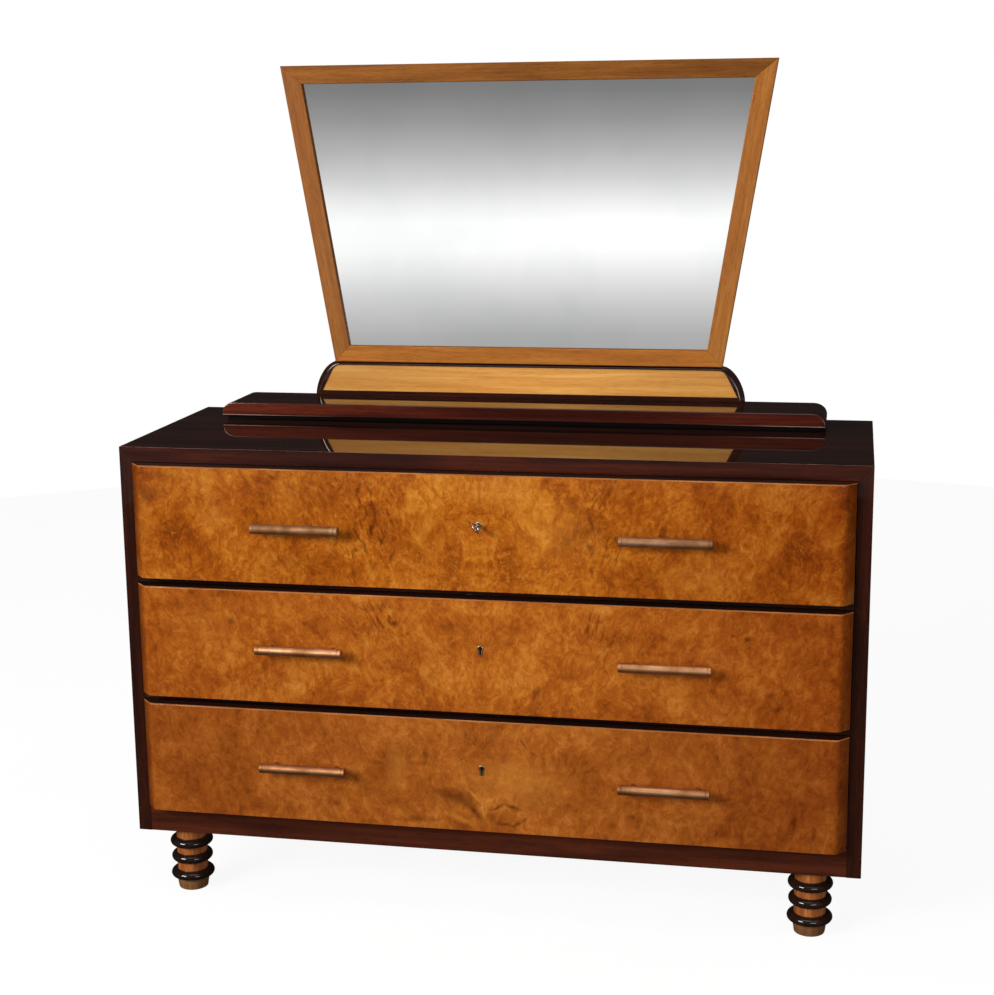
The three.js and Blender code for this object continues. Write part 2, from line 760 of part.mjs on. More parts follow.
// Shortens a horizontal rail at each end, so that its mitres open by one seam.
function railShift({ outer, sight }) {
  const mitre = outer.clone().sub(sight);
  return [(-seam * mitre.length()) / Math.abs(mitre.y), 0];
}

// Outline that fits in the frame's rebate with one seam all round.
function rebateShape() {
  const halfFoot = footCorner.rebate.x - seam;
  const halfHead = headCorner.rebate.x - seam;
  const foot = footCorner.rebate.y + seam;
  const head = headCorner.rebate.y - seam;
  return polygon([
    [-halfFoot, foot],
    [halfFoot, foot],
    [halfHead, head],
    [-halfHead, head],
  ]);
}

function buildMirror() {
  const rails = { bottom_rail: footCorner, top_rail: headCorner };
  Object.entries(rails).forEach(([name, corner]) => {
    const shift = railShift(corner);
    const rail = loft([mitreRing(corner, -1, shift), mitreRing(corner, 1, shift)]);
    add(dresser, `mirror_frame_${name}`, rail, finishes.lightWalnut);
  });
  const stays = [0, 0];
  const sides = { left: -1, right: 1 };
  Object.entries(sides).forEach(([name, side]) => {
    const stile = loft([mitreRing(footCorner, side, stays), mitreRing(headCorner, side, stays)]);
    add(dresser, `mirror_frame_${name}_stile`, stile, finishes.lightWalnut);
    const middle = side * battenCentre;
    const batten = block(
      [middle - battenWidth / 2, middle + battenWidth / 2],
      [mirrorBack + seam, carcassDepth],
      [carcassTop + seam, mirrorTop - battenTopShortfall],
    );
    add(dresser, `${name}_mirror_batten`, batten, finishes.plainWood);
  });
  add(dresser, 'mirror_glass', boardFrom(rebateShape(), glassFront, glassBack), finishes.silvered);
  const backboardFront = glassBack + seam;
  const backboard = boardFrom(rebateShape(), backboardFront, backboardFront + backboardThickness);
  add(dresser, 'mirror_backboard', backboard, finishes.plywood);
}

buildCarcass();
buildFeet();
buildDrawers();
buildStep();
buildMirrorBase();
buildMirror();

// The origin lies on the floor, midway between what reaches furthest forward and the back.
const handleReach = faceProud + handleAxisStandOff + handleDiameter / 2;
const keyReach = faceProud + keyStandOff + bowDiameter / 2;
const frontReach = Math.max(handleReach, keyReach);
dresser.position.y = (frontReach - carcassDepth) / 2;

const part = new THREE.Group();
part.add(dresser);

export default part;
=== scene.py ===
from math import asin, atan2, copysign, cos, pi, radians, sin

import bmesh
import bpy
from mathutils import Matrix, Vector


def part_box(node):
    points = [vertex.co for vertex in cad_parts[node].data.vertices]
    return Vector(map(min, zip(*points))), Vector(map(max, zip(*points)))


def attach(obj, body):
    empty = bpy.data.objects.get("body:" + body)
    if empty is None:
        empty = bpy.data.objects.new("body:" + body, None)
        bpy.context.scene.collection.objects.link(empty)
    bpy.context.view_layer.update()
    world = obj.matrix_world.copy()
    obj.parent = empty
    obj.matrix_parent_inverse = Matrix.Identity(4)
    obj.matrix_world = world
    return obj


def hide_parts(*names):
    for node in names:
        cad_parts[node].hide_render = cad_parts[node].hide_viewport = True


# Dresser with a fixed mirror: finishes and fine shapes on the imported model.
# Metres, +Z up, front towards -Y, floor at z = 0.

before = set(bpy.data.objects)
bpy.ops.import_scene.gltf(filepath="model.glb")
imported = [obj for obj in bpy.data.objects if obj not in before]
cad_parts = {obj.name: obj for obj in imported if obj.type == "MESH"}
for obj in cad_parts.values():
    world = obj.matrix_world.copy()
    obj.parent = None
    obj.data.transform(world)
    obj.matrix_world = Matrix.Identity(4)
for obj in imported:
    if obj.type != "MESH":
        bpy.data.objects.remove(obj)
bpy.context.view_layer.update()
scene = bpy.context.scene
mm = 0.001
quarter = pi / 2
print("frame loaded:", len(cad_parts), "nodes")


# Shared tools

def linear(hexColour):
    # sRGB hex to the linear colour that shaders take
    shares = [int(hexColour[i:i + 2], 16) / 255 for i in (1, 3, 5)]
    return tuple(s / 12.92 if s <= 0.04045 else ((s + 0.055) / 1.055) ** 2.4 for s in shares) + (1.0,)


def addNode(tree, kind, links=None, stops=None, **settings):
    # one node with its settings, its links or constant inputs, and the stops of a colour ramp
    node = tree.nodes.new("ShaderNode" + kind)
    for name, value in settings.items():
        setattr(node, name, value)
    for name, value in (links or {}).items():
        if isinstance(value, bpy.types.NodeSocket):
            tree.links.new(value, node.inputs[name])
        else:
            node.inputs[name].default_value = value
    if stops:
        ramp = node.color_ramp.elements
        while len(ramp) < len(stops):
            ramp.new(1.0)
        for element, (place, colour) in zip(ramp, stops):
            element.position = place
            element.color = linear(colour) if isinstance(colour, str) else (colour, colour, colour, 1.0)
    return node


def newMaterial(name, surface):
    # surface: constant sockets of the shader
    material = bpy.data.materials.new(name)
    material.use_nodes = True
    tree = material.node_tree
    shader = tree.nodes["Principled BSDF"]
    for socket, value in surface.items():
        shader.inputs[socket].default_value = value
    return material, tree, shader


def polished(coat, haze, specular=0.0):
    # constant sockets of polished wood: nearly all of its gloss lies in the coat
    return {"Roughness": 0.5, "Specular IOR Level": specular, "Coat Weight": coat, "Coat Roughness": haze}


def patternPlace(tree, sizeMm, turn=(0, 0, 0), shift=(0, 0, 0), source=None):
    # the piece's coordinates in units of a real size along each axis, in millimetres
    source = source or addNode(tree, "TexCoord").outputs["Object"]
    inputs = {"Vector": source, "Location": shift, "Rotation": turn, "Scale": [s * mm for s in sizeMm]}
    return addNode(tree, "Mapping", inputs, vector_type="TEXTURE").outputs["Vector"]


def cloudiness(tree, vector, detail=2.0, **inputs):
    # soft noise, centred on one half
    return addNode(tree, "TexNoise", {"Vector": vector, "Scale": 1.0, "Detail": detail, **inputs})


def combined(tree, operation, *inputs, kind="Math"):
    # one operation on numbers or on vectors
    return addNode(tree, kind, dict(enumerate(inputs)), operation=operation).outputs[0]


def times(tree, first, second):
    return combined(tree, "MULTIPLY", first, second)


def weighted(tree, parts, weights):
    # the sum of each part times its weight
    total = 0.0
    for part, weight in zip(parts, weights):
        total = combined(tree, "MULTIPLY_ADD", part, weight, total)
    return total


def blended(tree, factor, first, second, way="MIX"):
    # two colours, mixed by a factor
    first, second = [linear(c) if isinstance(c, str) else c for c in (first, second)]
    return addNode(tree, "Mix", {0: factor, 6: first, 7: second}, data_type="RGBA", blend_type=way).outputs[2]


def ramped(tree, value, stops):
    # a colour or grey for each height of a value
    return addNode(tree, "ValToRGB", {"Fac": value}, stops=list(stops)).outputs[0]


def faded(tree, value, start, end, most=1.0):
    # from zero at the start to the most at the end
    inputs = {"Value": value, "From Min": start, "From Max": end, "To Max": most}
    return addNode(tree, "MapRange", inputs).outputs[0]


def waxedRelief(tree, shader, height, depthMm):
    # slight relief in the polished surface
    bump = addNode(tree, "Bump", {"Height": height, "Distance": depthMm * mm, "Strength": 1.0})
    tree.links.new(bump.outputs["Normal"], shader.inputs["Normal"])


def paintedLightAlong(material, stops):
    # painted light and shade: the same finish with its colour turned down from place to place along x; places
    # in mm from the middle
    tree = material.node_tree
    base = tree.nodes["Principled BSDF"].inputs["Base Color"]
    split = addNode(tree, "SeparateXYZ", {0: addNode(tree, "TexCoord").outputs["Object"]})
    place = faded(tree, split.outputs[0], -1.0, 1.0)
    tint = ramped(tree, place, [(0.5 + x * mm / 2, share) for x, share in stops])
    tree.links.new(blended(tree, 1.0, base.links[0].from_socket, tint, "MULTIPLY"), base)
    return material


# Finishes

# The streaks of every wood, where its tones lie in their sum, and where its pores lie in the fibres.
streaks = {
    "figure": {"detail": 3.0, "Distortion": 0.7},
    "line": {"detail": 4.0, "Roughness": 0.6},
    "fibre": {"detail": 2.0},
    "tones": (0.3, 0.5, 0.7),
    "pores": ((0.32, 0.0), (0.42, 1.0)),
}


def straightGrain(name, look, turn=(0, 0, 0), **changes):
    # Wood cut along its grain. The grain runs along x before the turn; the changes go over the look.
    look = {**look, **changes}
    material, tree, shader = newMaterial(name, look["surface"])
    layers = []
    for kind in ("figure", "line", "fibre"):
        along, across = look[kind + "Mm"]
        place = patternPlace(tree, (along, across, across), turn)
        layers.append(cloudiness(tree, place, **streaks[kind]).outputs[0])
    colour = ramped(tree, weighted(tree, layers, look["shares"]), zip(streaks["tones"], look["colours"]))
    pores = ramped(tree, layers[-1], streaks["pores"])
    shade = blended(tree, look["poreShade"], colour, pores, "MULTIPLY")
    tree.links.new(shade, shader.inputs["Base Color"])
    waxedRelief(tree, shader, pores, look["poreMm"])
    return material


# French polish over a black-brown stain: nearly black where it lies flat, red-brown where light comes
# through, and as sharp as a piano lid in its reflections.
ebonised = {
    "colours": ("#160a07", "#2a130c", "#431c10"),
    "figureMm": (420, 34),
    "lineMm": (240, 6),
    "fibreMm": (26, 1.4),  # the pores are finer on the real wood; this is as fine as shows
    "shares": (0.5, 0.3, 0.2),
    "poreShade": 0.25,
    "poreMm": 0.02,
    "surface": polished(1.0, 0.03),
}
upright = (0, quarter, 0)
inward = (0, 0, quarter)
ebonisedAcross = straightGrain("ebonised walnut, grain across", ebonised)
ebonisedUpright = straightGrain("ebonised walnut, grain upright", ebonised, upright)

# Stained but hardly polished, where nobody looks: the divider rails. The tops of the drawer fronts are made
# as dark with it.
ebonisedInner = straightGrain("ebonised walnut, unpolished", ebonised,
                              surface={"Roughness": 0.65, "Specular IOR Level": 0.1})

# The front faces of the top and of the bottom rail show their red walnut through the stain.
ebonisedRed = straightGrain("ebonised walnut, worn to red", ebonised,
                            colours=("#2e130b", "#4b2214", "#672f1a"), shares=(0.6, 0.3, 0.1))
ebonisedDeepRed = straightGrain("ebonised walnut, deep red", ebonised,
                                colours=("#1d0805", "#36130a", "#57220f"), shares=(0.6, 0.3, 0.1))

# The rings of the feet are lacquered black, with hardly any grain left to see.
blackRings = straightGrain("black lacquered rings", ebonised, upright, poreShade=0.1,
                           colours=("#120a07", "#20140e", "#33211a"))

# The strip that lifts the step, in the gap under the step's front, is made nearly black and almost without
# grain.
blackStrip = straightGrain("near-black strip", ebonised, poreShade=0.1,
                           colours=("#040202", "#090505", "#100a08"))

# A pale pinkish painted highlight for the arris along the top's front edge.
carcassArrisHighlight = straightGrain("painted arris highlight", ebonised, figureMm=(160, 30), lineMm=(60, 3),
                            colours=("#6a3c2e", "#b08270", "#dcb4a2"), shares=(0.6, 0.3, 0.1))

# Dark red walnut veneer under French polish: brown-red bands that run the length of the board. Its colour is
# turned down through the middle, so that the ends, the left one most, carry a painted reflection.
redWalnut = paintedLightAlong(straightGrain("polished red walnut veneer", {
    "colours": ("#2a0d08", "#491a10", "#72301d"),
    "figureMm": (520, 26),
    "lineMm": (300, 5),
    "fibreMm": (24, 1.2),
    "shares": (0.55, 0.3, 0.15),
    "poreShade": 0.3,
    "poreMm": 0.02,
    "surface": polished(0.9, 0.04),
}), [(-450, 1.0), (-60, 0.62), (120, 0.62), (450, 0.88)])

# A pale painted highlight along the step's lower arris, near its two ends.
stepArrisHighlight = paintedLightAlong(straightGrain(
    "painted highlight on the step's lower arris", ebonised, figureMm=(90, 30), lineMm=(40, 3),
    colours=("#8a6a5a", "#c8a898", "#ecd0c0"),
), [(-550, 1.0), (-420, 0.3), (-330, 0.03), (350, 0.03), (450, 0.5), (550, 1.0)])

# Satin light walnut of the mirror frame: orange-brown, softly streaked along each member.
lightWalnut = {
    "figureMm": (260, 18),
    "lineMm": (120, 3.5),
    "fibreMm": (18, 1.1),
    "shares": (0.45, 0.35, 0.2),
    "poreShade": 0.25,
    "poreMm": 0.04,
    "surface": polished(0.25, 0.15, 0.05),
}
# each member of the mirror frame has its own colours, the bottom rail lightest and the top rail darkest
frameColours = {
    "bottom_rail": ("#90531e", "#ab6726", "#c27e36"),
    "top_rail": ("#693a13", "#88501c", "#a46627"),
    "left_stile": ("#7a461b", "#925826", "#aa7036"),
    "right_stile": ("#8a511e", "#a16228", "#b97b3a"),
}
# painted shade: the top rail darkens towards its right end
framePaintedShade = {"top_rail": [(-420, 1.0), (150, 0.82), (420, 0.78)]}

# Honey-coloured walnut veneer: pale gold with long soft bands and a darker vein or two. Its colour is turned
# down towards both ends, so that the middle carries a painted sheen.
paleWalnut = paintedLightAlong(straightGrain("polished pale walnut veneer", {
    "colours": ("#c07a30", "#dc994a", "#f0b862"),
    "figureMm": (330, 15),
    "lineMm": (260, 4),
    "fibreMm": (20, 1.2),
    "shares": (0.6, 0.3, 0.1),
    "poreShade": 0.15,
    "poreMm": 0.02,
    "surface": polished(0.6, 0.08, 0.05),
}), [(-330, 0.78), (-30, 1.0), (60, 1.0), (330, 0.85)])

# Bare planed poplar of the drawer boxes: pale tan, dry, with fine straight fibres.
poplar = {
    "colours": ("#96713f", "#b48d58", "#c9a673"),
    "figureMm": (380, 30),
    "lineMm": (200, 5),
    "fibreMm": (22, 1.3),
    "shares": (0.45, 0.35, 0.2),
    "poreShade": 0.35,
    "poreMm": 0.08,
    "surface": {"Roughness": 0.72},
}
poplarAcross = straightGrain("bare poplar, grain across", poplar)
poplarInward = straightGrain("bare poplar, grain from front to back", poplar, inward)
poplarUpright = straightGrain("bare poplar, grain upright", poplar, upright)

# Bare plywood, gone brown with age: broad rotary-cut figure and a dry face.
plywood = {"colours": ("#7a5429", "#96703f", "#ab8552"), "figureMm": (520, 70), "lineMm": (260, 12)}
plywoodAcross = straightGrain("aged plywood, grain across", poplar, **plywood)
plywoodUpright = straightGrain("aged plywood, grain upright", poplar, upright, **plywood)


def burlVeneer(name, look, faceBottom):
    # Golden burl veneer, opened like a book at the middle seam, under French polish. It gives clouds of
    # gold and orange-brown, curled light flecks, pin knots, and dark streaks where the burl meets plain wood.
    material, tree, shader = newMaterial(name, look["surface"])
    place = addNode(tree, "TexCoord").outputs["Object"]
    x, y, z = addNode(tree, "SeparateXYZ", {0: place}).outputs
    folded = combined(tree, "ABSOLUTE", combined(tree, "SUBTRACT", x, look["seam"]))
    leaf = addNode(tree, "CombineXYZ", {0: folded, 1: y, 2: z}).outputs[0]
    shift = look["shift"]

    def bent(place, bend, **settings):
        # a place pushed about by up to half of a reach
        size, detail, reach = look[bend]
        noise = cloudiness(tree, patternPlace(tree, (size,) * 3, **settings), detail)
        off = combined(tree, "SUBTRACT", noise.outputs["Color"], (0.5, 0.5, 0.5), kind="VectorMath")
        return combined(tree, "MULTIPLY_ADD", off, (reach * mm,) * 3, place, kind="VectorMath")

    # the two leaves were cut one after the other, so they differ a little
    leaf = bent(leaf, "leafDrift")
    swirled = bent(leaf, "swirl", shift=shift, source=leaf)

    def layer(kind, source=swirled):
        size, tall, detail, distortion, lean, offset = look[kind]
        moved = tuple(part + offset for part in shift)
        vector = patternPlace(tree, (size, size, tall), (0, radians(lean), 0), moved, source)
        return cloudiness(tree, vector, detail, Distortion=distortion).outputs[0]

    def mask(kind, value):
        return ramped(tree, value, look["masks"][kind])

    def over(colour, share, tone, first, second):
        # a tone laid over the colour where both masks are
        return blended(tree, times(tree, times(tree, first, second), look[share]), colour, look[tone])

    mixed = weighted(tree, [layer(kind) for kind in ("cloud", "curl", "speckle")], look["shares"])
    colour = ramped(tree, mixed, zip(look["stops"], look["colours"]))
    fibres, fibreHere = mask("fibre", layer("fibre", leaf)), mask("fibreHere", layer("fibreCluster"))
    colour = over(colour, "fibreShare", "fibreColour", fibres, fibreHere)
    cluster, flecks = layer("cluster"), layer("fleck")
    lightHere, darkHere = mask("lightHere", cluster), mask("darkHere", cluster)
    colour = over(colour, "fleckShare", "fleckColour", mask("light", flecks), lightHere)
    colour = over(colour, "darkShare", "darkColour", mask("dark", flecks), darkHere)
    colour = over(colour, "threadShare", "fleckColour", mask("thread", layer("thread")), lightHere)
    pinPlace = patternPlace(tree, (look["pinMm"],) * 3, shift=shift, source=leaf)
    pins = addNode(tree, "TexVoronoi", {"Vector": pinPlace, "Scale": 1.0}).outputs
    pin, pinHere = mask("pin", pins["Distance"]), mask("pinHere", pins["Color"])
    colour = over(colour, "pinShare", "knotColour", pin, pinHere)

    ragged = bent(place, "ragged", shift=shift, source=place)
    flat = combined(tree, "MULTIPLY", ragged, (1.0, 0.0, 1.0), kind="VectorMath")
    dash = mask("dash", layer("dash", leaf))
    for kind, *marks in look["marks"]:
        tone = look["fleckColour" if kind == "light" else "knotColour"]
        for across, up, halfWidth, halfHeight, lean, strength in marks:
            centre = (across * mm, 0, faceBottom + up * mm)
            near = patternPlace(tree, (halfWidth, 1, halfHeight), (0, radians(lean), 0), centre, flat)
            away = addNode(tree, "VectorMath", {0: near}, operation="LENGTH").outputs["Value"]
            share = ramped(tree, away, [(look["fullTo"][kind], strength), (1.0, 0.0)])
            share = times(tree, share, dash) if kind == "dashes" else share
            colour = blended(tree, share, colour, tone)

    # painted shade: the leaves are darkened and reddened towards both ends, so that they are lightest near
    # the middle
    rightward = faded(tree, x, *look["rightFade"])
    leftward = faded(tree, x, *look["leftFade"], look["leftShade"])
    shadedEnds = blended(tree, 1.0, colour, look["endShadeTint"], "MULTIPLY")
    colour = blended(tree, combined(tree, "ADD", rightward, leftward), colour, shadedEnds)
    # painted shade: the splayed ends, which turn away from the light, are darkened
    splayed = faded(tree, folded, *look["splayFade"], look["splayShade"])
    seamLine = ramped(tree, folded, zip(look["seamLine"], (look["seamShare"], 0.0)))
    for share in (splayed, seamLine):
        colour = blended(tree, share, colour, look["knotColour"])
    tree.links.new(colour, shader.inputs["Base Color"])
    waxedRelief(tree, shader, mixed, look["reliefMm"])
    return material


burl = {
    "seam": 2 * mm,  # from the middle of the face
    "seamLine": (0.2 * mm, 0.7 * mm),  # from the seam
    # bends: size and detail of the noise, reach; sizes in mm
    "leafDrift": (90, 2.0, 30),
    "swirl": (70, 2.0, 30),
    "ragged": (20, 3.0, 12),
    # patterns: size across and up in mm, detail, distortion, lean in degrees, offset that tells them apart
    "cloud": (78, 88, 5.0, 0.5, 0, 0.0),
    "curl": (12, 16, 2.5, 0.6, 14, 0.0),
    "speckle": (4.0, 5.0, 2.0, 0.5, 0, 0.0),
    "dash": (5.5, 30, 2.0, 0.4, 21, 4.2),
    "cluster": (60, 80, 3.0, 0.4, 0, 0.7),
    "fibreCluster": (60, 80, 3.0, 0.4, 0, 2.1),
    "fibre": (2.2, 46, 3.0, 0.3, 9, 0.0),
    "fleck": (8.5, 13, 2.0, 1.0, 20, 1.3),
    "thread": (26, 34, 2.0, 1.4, 10, 2.9),
    # where in a pattern each mask begins and ends
    "masks": {
        "fibre": ((0.30, 1.0), (0.47, 0.0)),
        "fibreHere": ((0.46, 0.0), (0.58, 1.0)),
        "light": ((0.55, 0.0), (0.66, 1.0)),
        "lightHere": ((0.44, 0.0), (0.56, 1.0)),
        "dark": ((0.34, 1.0), (0.42, 0.0)),
        "darkHere": ((0.40, 1.0), (0.54, 0.0)),
        "thread": ((0.475, 0.0), (0.5, 1.0), (0.525, 0.0)),
        "pin": ((0.06, 1.0), (0.2, 0.0)),
        "pinHere": ((0.62, 0.0), (0.72, 1.0)),
        "dash": ((0.36, 1.0), (0.46, 0.0)),
    },
    # the share of a mark's half size over which it has its full strength
    "fullTo": {"dark": 0.1, "light": 0.1, "dashes": 0.5},
    "shares": (0.48, 0.34, 0.18),
    "stops": (0.37, 0.45, 0.51, 0.57, 0.65),
    "colours": ("#803e0b", "#9c4f10", "#ad5d15", "#bd6f1e", "#cc8630"),
    "fibreShare": 0.4,
    "fibreColour": "#8a430b",
    "fleckShare": 0.36,
    "fleckColour": "#d28b38",
    "threadShare": 0.03,
    "darkShare": 0.55,
    "darkColour": "#7a3808",
    "pinMm": 9,
    "pinShare": 0.4,
    "knotColour": "#552408",
    # from the middle, where a painted shade begins and is full
    "rightFade": (100 * mm, 640 * mm),
    "leftFade": (-50 * mm, -640 * mm),
    "splayFade": (607 * mm, 623.5 * mm),
    "leftShade": 0.55,
    "endShadeTint": "#cfb9b0",
    "splayShade": 0.7,
    "seamShare": 0.1,
    "reliefMm": 0.03,
    "surface": polished(0.7, 0.06),
}
# marks in the order in which they are laid: kind, then across from the middle and up the face in mm, half
# sizes in mm, lean in degrees and strength
burlOf = {
    "top": {**burl, "shift": (0.3, 0, 0.11), "marks": (
        ("dashes", (-195, 105, 70, 110, 20, 0.62), (205, 110, 50, 105, -20, 0.5)),
        ("light", (40, 170, 90, 34, 0, 0.25)),
        ("dark", (-240, 175, 4, 15, 35, 0.6), (-209, 173, 4, 18, 18, 0.7), (-187, 101, 5, 24, 18, 0.85),
         (-196, 128, 4, 12, 25, 0.6), (-183, 40, 4, 11, 26, 0.6), (-152, 56, 5, 17, 23, 0.7),
         (-215, 66, 8, 6, 20, 0.7), (-168, 84, 3, 12, 22, 0.5), (-584, 150, 44, 14, -14, 0.4),
         (-560, 185, 34, 14, 0, 0.25), (193, 123, 5, 20, -13, 0.85), (189, 85, 5, 13, -22, 0.75),
         (220, 177, 5, 17, 20, 0.6), (219, 72, 6, 5, 0, 0.5), (193, 42, 5, 13, -20, 0.6)),
        ("light", (500, 120, 5, 26, 38, 0.5), (590, 105, 3, 16, 50, 0.4), (-470, 120, 40, 34, 0, 0.3)),
        ("dark", (-330, 45, 70, 26, 0, 0.2), (-300, 155, 90, 50, 0, 0.2), (-100, 100, 70, 70, 0, 0.14)),
        ("light", (135, 110, 90, 70, 0, 0.2), (380, 40, 100, 45, 0, 0.2), (-600, 100, 22, 90, 0, 0.2)),
    )},
    "middle": {**burl, "shift": (1.7, 0, 0.42), "fibreShare": 0.3, "fleckShare": 0.26, "darkShare": 0.4,
               "stops": (0.35, 0.44, 0.51, 0.58, 0.67),
               "colours": ("#803e0f", "#9c4f15", "#ad5d1a", "#bd6f24", "#cc8636"), "marks": (
        ("dashes", (-185, 160, 50, 55, 20, 0.6), (200, 150, 45, 60, -20, 0.5)),
        ("dark", (-445, 146, 10, 9, 0, 0.65), (-152, 153, 12, 6, 24, 0.85), (-313, 148, 10, 4, 30, 0.5),
         (-128, 137, 3, 3, 0, 0.7), (-517, 195, 9, 6, 0, 0.5), (-300, 21, 5, 7, 0, 0.6),
         (-87, 62, 9, 18, 0, 0.3), (452, 153, 11, 8, -25, 0.8), (430, 159, 6, 5, -30, 0.6),
         (505, 35, 14, 8, -15, 0.65), (97, 43, 8, 20, 12, 0.6), (494, 58, 9, 6, 0, 0.45),
         (591, 180, 7, 8, 0, 0.35), (315, 148, 8, 5, 0, 0.4), (307, 118, 8, 5, 0, 0.3),
         (522, 201, 5, 6, 0, 0.5), (-170, 185, 5, 15, 20, 0.4)),
        ("light", (400, 120, 90, 16, 10, 0.2)),
        ("dark", (-120, 103, 80, 60, 0, 0.12)),
        ("light", (380, 32, 100, 40, 0, 0.12), (-500, 150, 90, 50, 0, 0.12)),
    )},
    "bottom": {**burl, "shift": (3.2, 0, 0.87), "fibreShare": 0.22, "fleckShare": 0.15, "darkShare": 0.22,
               "stops": (0.33, 0.43, 0.51, 0.59, 0.7), "seamShare": 0.08, "leftShade": 0.7,
               "colours": ("#783a10", "#934c17", "#a4591c", "#b56927", "#c47d36"), "marks": (
        ("light", (60, 95, 120, 60, 0, 0.3)),
        ("dark", (26, 47, 19, 5, -24, 0.8), (55, 49, 20, 5, 14, 0.8), (18, 29, 12, 15, 0, 0.55),
         (38, 16, 18, 5, 6, 0.75), (62, 19, 16, 5, -28, 0.75), (76, 28, 8, 5, -30, 0.7),
         (-42, 60, 46, 20, 12, 0.8), (-14, 38, 28, 11, 47, 0.9), (-66, 70, 36, 12, 10, 0.3),
         (-115, 16, 42, 7, -3, 0.5)),
        ("light", (-15, 66, 3, 21, -48, 0.6), (15, 60, 3, 17, 52, 0.5), (2, 47, 3, 38, 0, 0.6),
         (-40, 22, 34, 6, 24, 0.4)),
        ("dark", (-262, 36, 9, 8, 0, 0.6), (262, 44, 9, 8, 0, 0.7), (-539, 43, 26, 20, 0, 0.3),
         (-281, 163, 7, 5, 0, 0.5), (-99, 136, 10, 7, 0, 0.5), (75, 165, 3, 18, -28, 0.6),
         (89, 149, 9, 3, 20, 0.5), (536, 53, 6, 26, 3, 0.7), (570, 34, 5, 16, 0, 0.6),
         (406, 23, 5, 14, 0, 0.5), (-222, 80, 4, 30, -48, 0.3)),
        ("light", (-150, 110, 26, 62, 0, 0.25)),
    )},
}

# A pale painted highlight along the top arris of a drawer front.
burlArrisHighlight = straightGrain("painted highlight on burl arris", lightWalnut, figureMm=(150, 20), lineMm=(40, 3),
                           colours=("#743a14", "#9e5e2a", "#bf8350"))

# Turned walnut of the feet: warm brown under polish, streaked up and down.
footStem = straightGrain("polished turned walnut", {
    "colours": ("#6c3612", "#a45a27", "#d68e4c"),
    "figureMm": (160, 16),
    "lineMm": (90, 4),
    "fibreMm": (14, 1.1),
    "shares": (0.4, 0.4, 0.2),
    "poreShade": 0.3,
    "poreMm": 0.03,
    "surface": {"Roughness": 0.3, "Coat Weight": 0.7, "Coat Roughness": 0.08},
}, upright)

# The feet below their lowest ring are a duller, darker grey-brown, with little polish.
footSole = straightGrain("dull turned walnut", poplar, upright, poreMm=0.03,
                         colours=("#5a3418", "#7e512c", "#9b6b3f"),
                         surface={"Roughness": 0.5, "Coat Weight": 0.2})


# All metals: the shares of patches and rubbing, where the tones lie in their sum, and between which of its
# values the gloss falls.
handling = {"shares": (0.75, 0.25), "tones": (0.36, 0.5, 0.64), "gloss": (0.35, 0.65)}


def handledMetal(name, look, **changes):
    # Metal that hands have dulled: soft mottling in colour and gloss, and fine rubbing marks.
    look = {**look, **changes}
    material, tree, shader = newMaterial(name, {"Metallic": 1.0})
    patch = cloudiness(tree, patternPlace(tree, (look["patchMm"],) * 3), 4.0, Roughness=0.6).outputs[0]
    rub = cloudiness(tree, patternPlace(tree, look["rubMm"])).outputs[0]
    mixed = weighted(tree, (patch, rub), handling["shares"])
    colour = ramped(tree, mixed, zip(handling["tones"], look["colours"]))
    tree.links.new(colour, shader.inputs["Base Color"])
    start, end = handling["gloss"]
    low, high = look["roughness"]
    inputs = {"Value": mixed, "From Min": start, "From Max": end, "To Min": high, "To Max": low}
    tree.links.new(addNode(tree, "MapRange", inputs).outputs[0], shader.inputs["Roughness"])
    waxedRelief(tree, shader, rub, look["rubDepthMm"])
    return material


# Coppery brass bar, drawn and then dulled: pinkish brown with a broad soft highlight along it.
copper = {
    "colours": ("#96623c", "#b67f55", "#d29c72"),
    "patchMm": 45,
    "rubMm": (60, 2, 2),
    "rubDepthMm": 0.002,
    "roughness": (0.46, 0.58),
}
copperBar = handledMetal("dulled copper bar", copper)
# The top drawer's bars are browner and duller.
brownedBar = handledMetal("browned copper bar", copper, colours=("#7c5436", "#9a6e4c", "#b68a68"),
                          roughness=(0.6, 0.7))
# Lacquered brass of the liners and lock cases: yellow, slightly brown in its low places.
lockBrass = handledMetal("lacquered brass", {
    "colours": ("#a88e60", "#d4c098", "#f0e4c8"),
    "patchMm": 9,
    "rubMm": (8, 0.7, 0.7),
    "rubDepthMm": 0.01,
    "roughness": (0.24, 0.4),
})
# Cast and filed steel of the key and bolts: grey, with a pinkish cast painted in as a reflection of the room.
lockSteel = handledMetal("filed steel", {
    "colours": ("#8f8580", "#b9aea9", "#d9cfca"),
    "patchMm": 6,
    "rubMm": (5, 0.6, 0.6),
    "rubDepthMm": 0.01,
    "roughness": (0.16, 0.32),
})

silver = {"stops": ((0.3, "#f2f4f3"), (0.6, "#fafbfa")), "hazeMm": 160, "hazeDetail": 3.0}


def silveredGlass():
    # Silver behind polished glass: a clean sharp mirror, a shade grey, with a faint haze in its tone.
    material, tree, shader = newMaterial("silvered glass", {"Metallic": 1.0, "Roughness": 0.0})
    haze = cloudiness(tree, patternPlace(tree, (silver["hazeMm"],) * 3), silver["hazeDetail"]).outputs[0]
    tree.links.new(ramped(tree, haze, silver["stops"]), shader.inputs["Base Color"])
    return material


mirrorSilver = silveredGlass()
print("finishes made")


# Mesh tools

shaping = {
    "merge": 0.01 * mm,
    "coplanar": radians(1),
    "corner": radians(30),
    "smoothBelow": radians(32),
    "profile": 0.5,  # round
    "leastCorner": 0.3,  # keeps a very sharp corner of an inset from running away
}


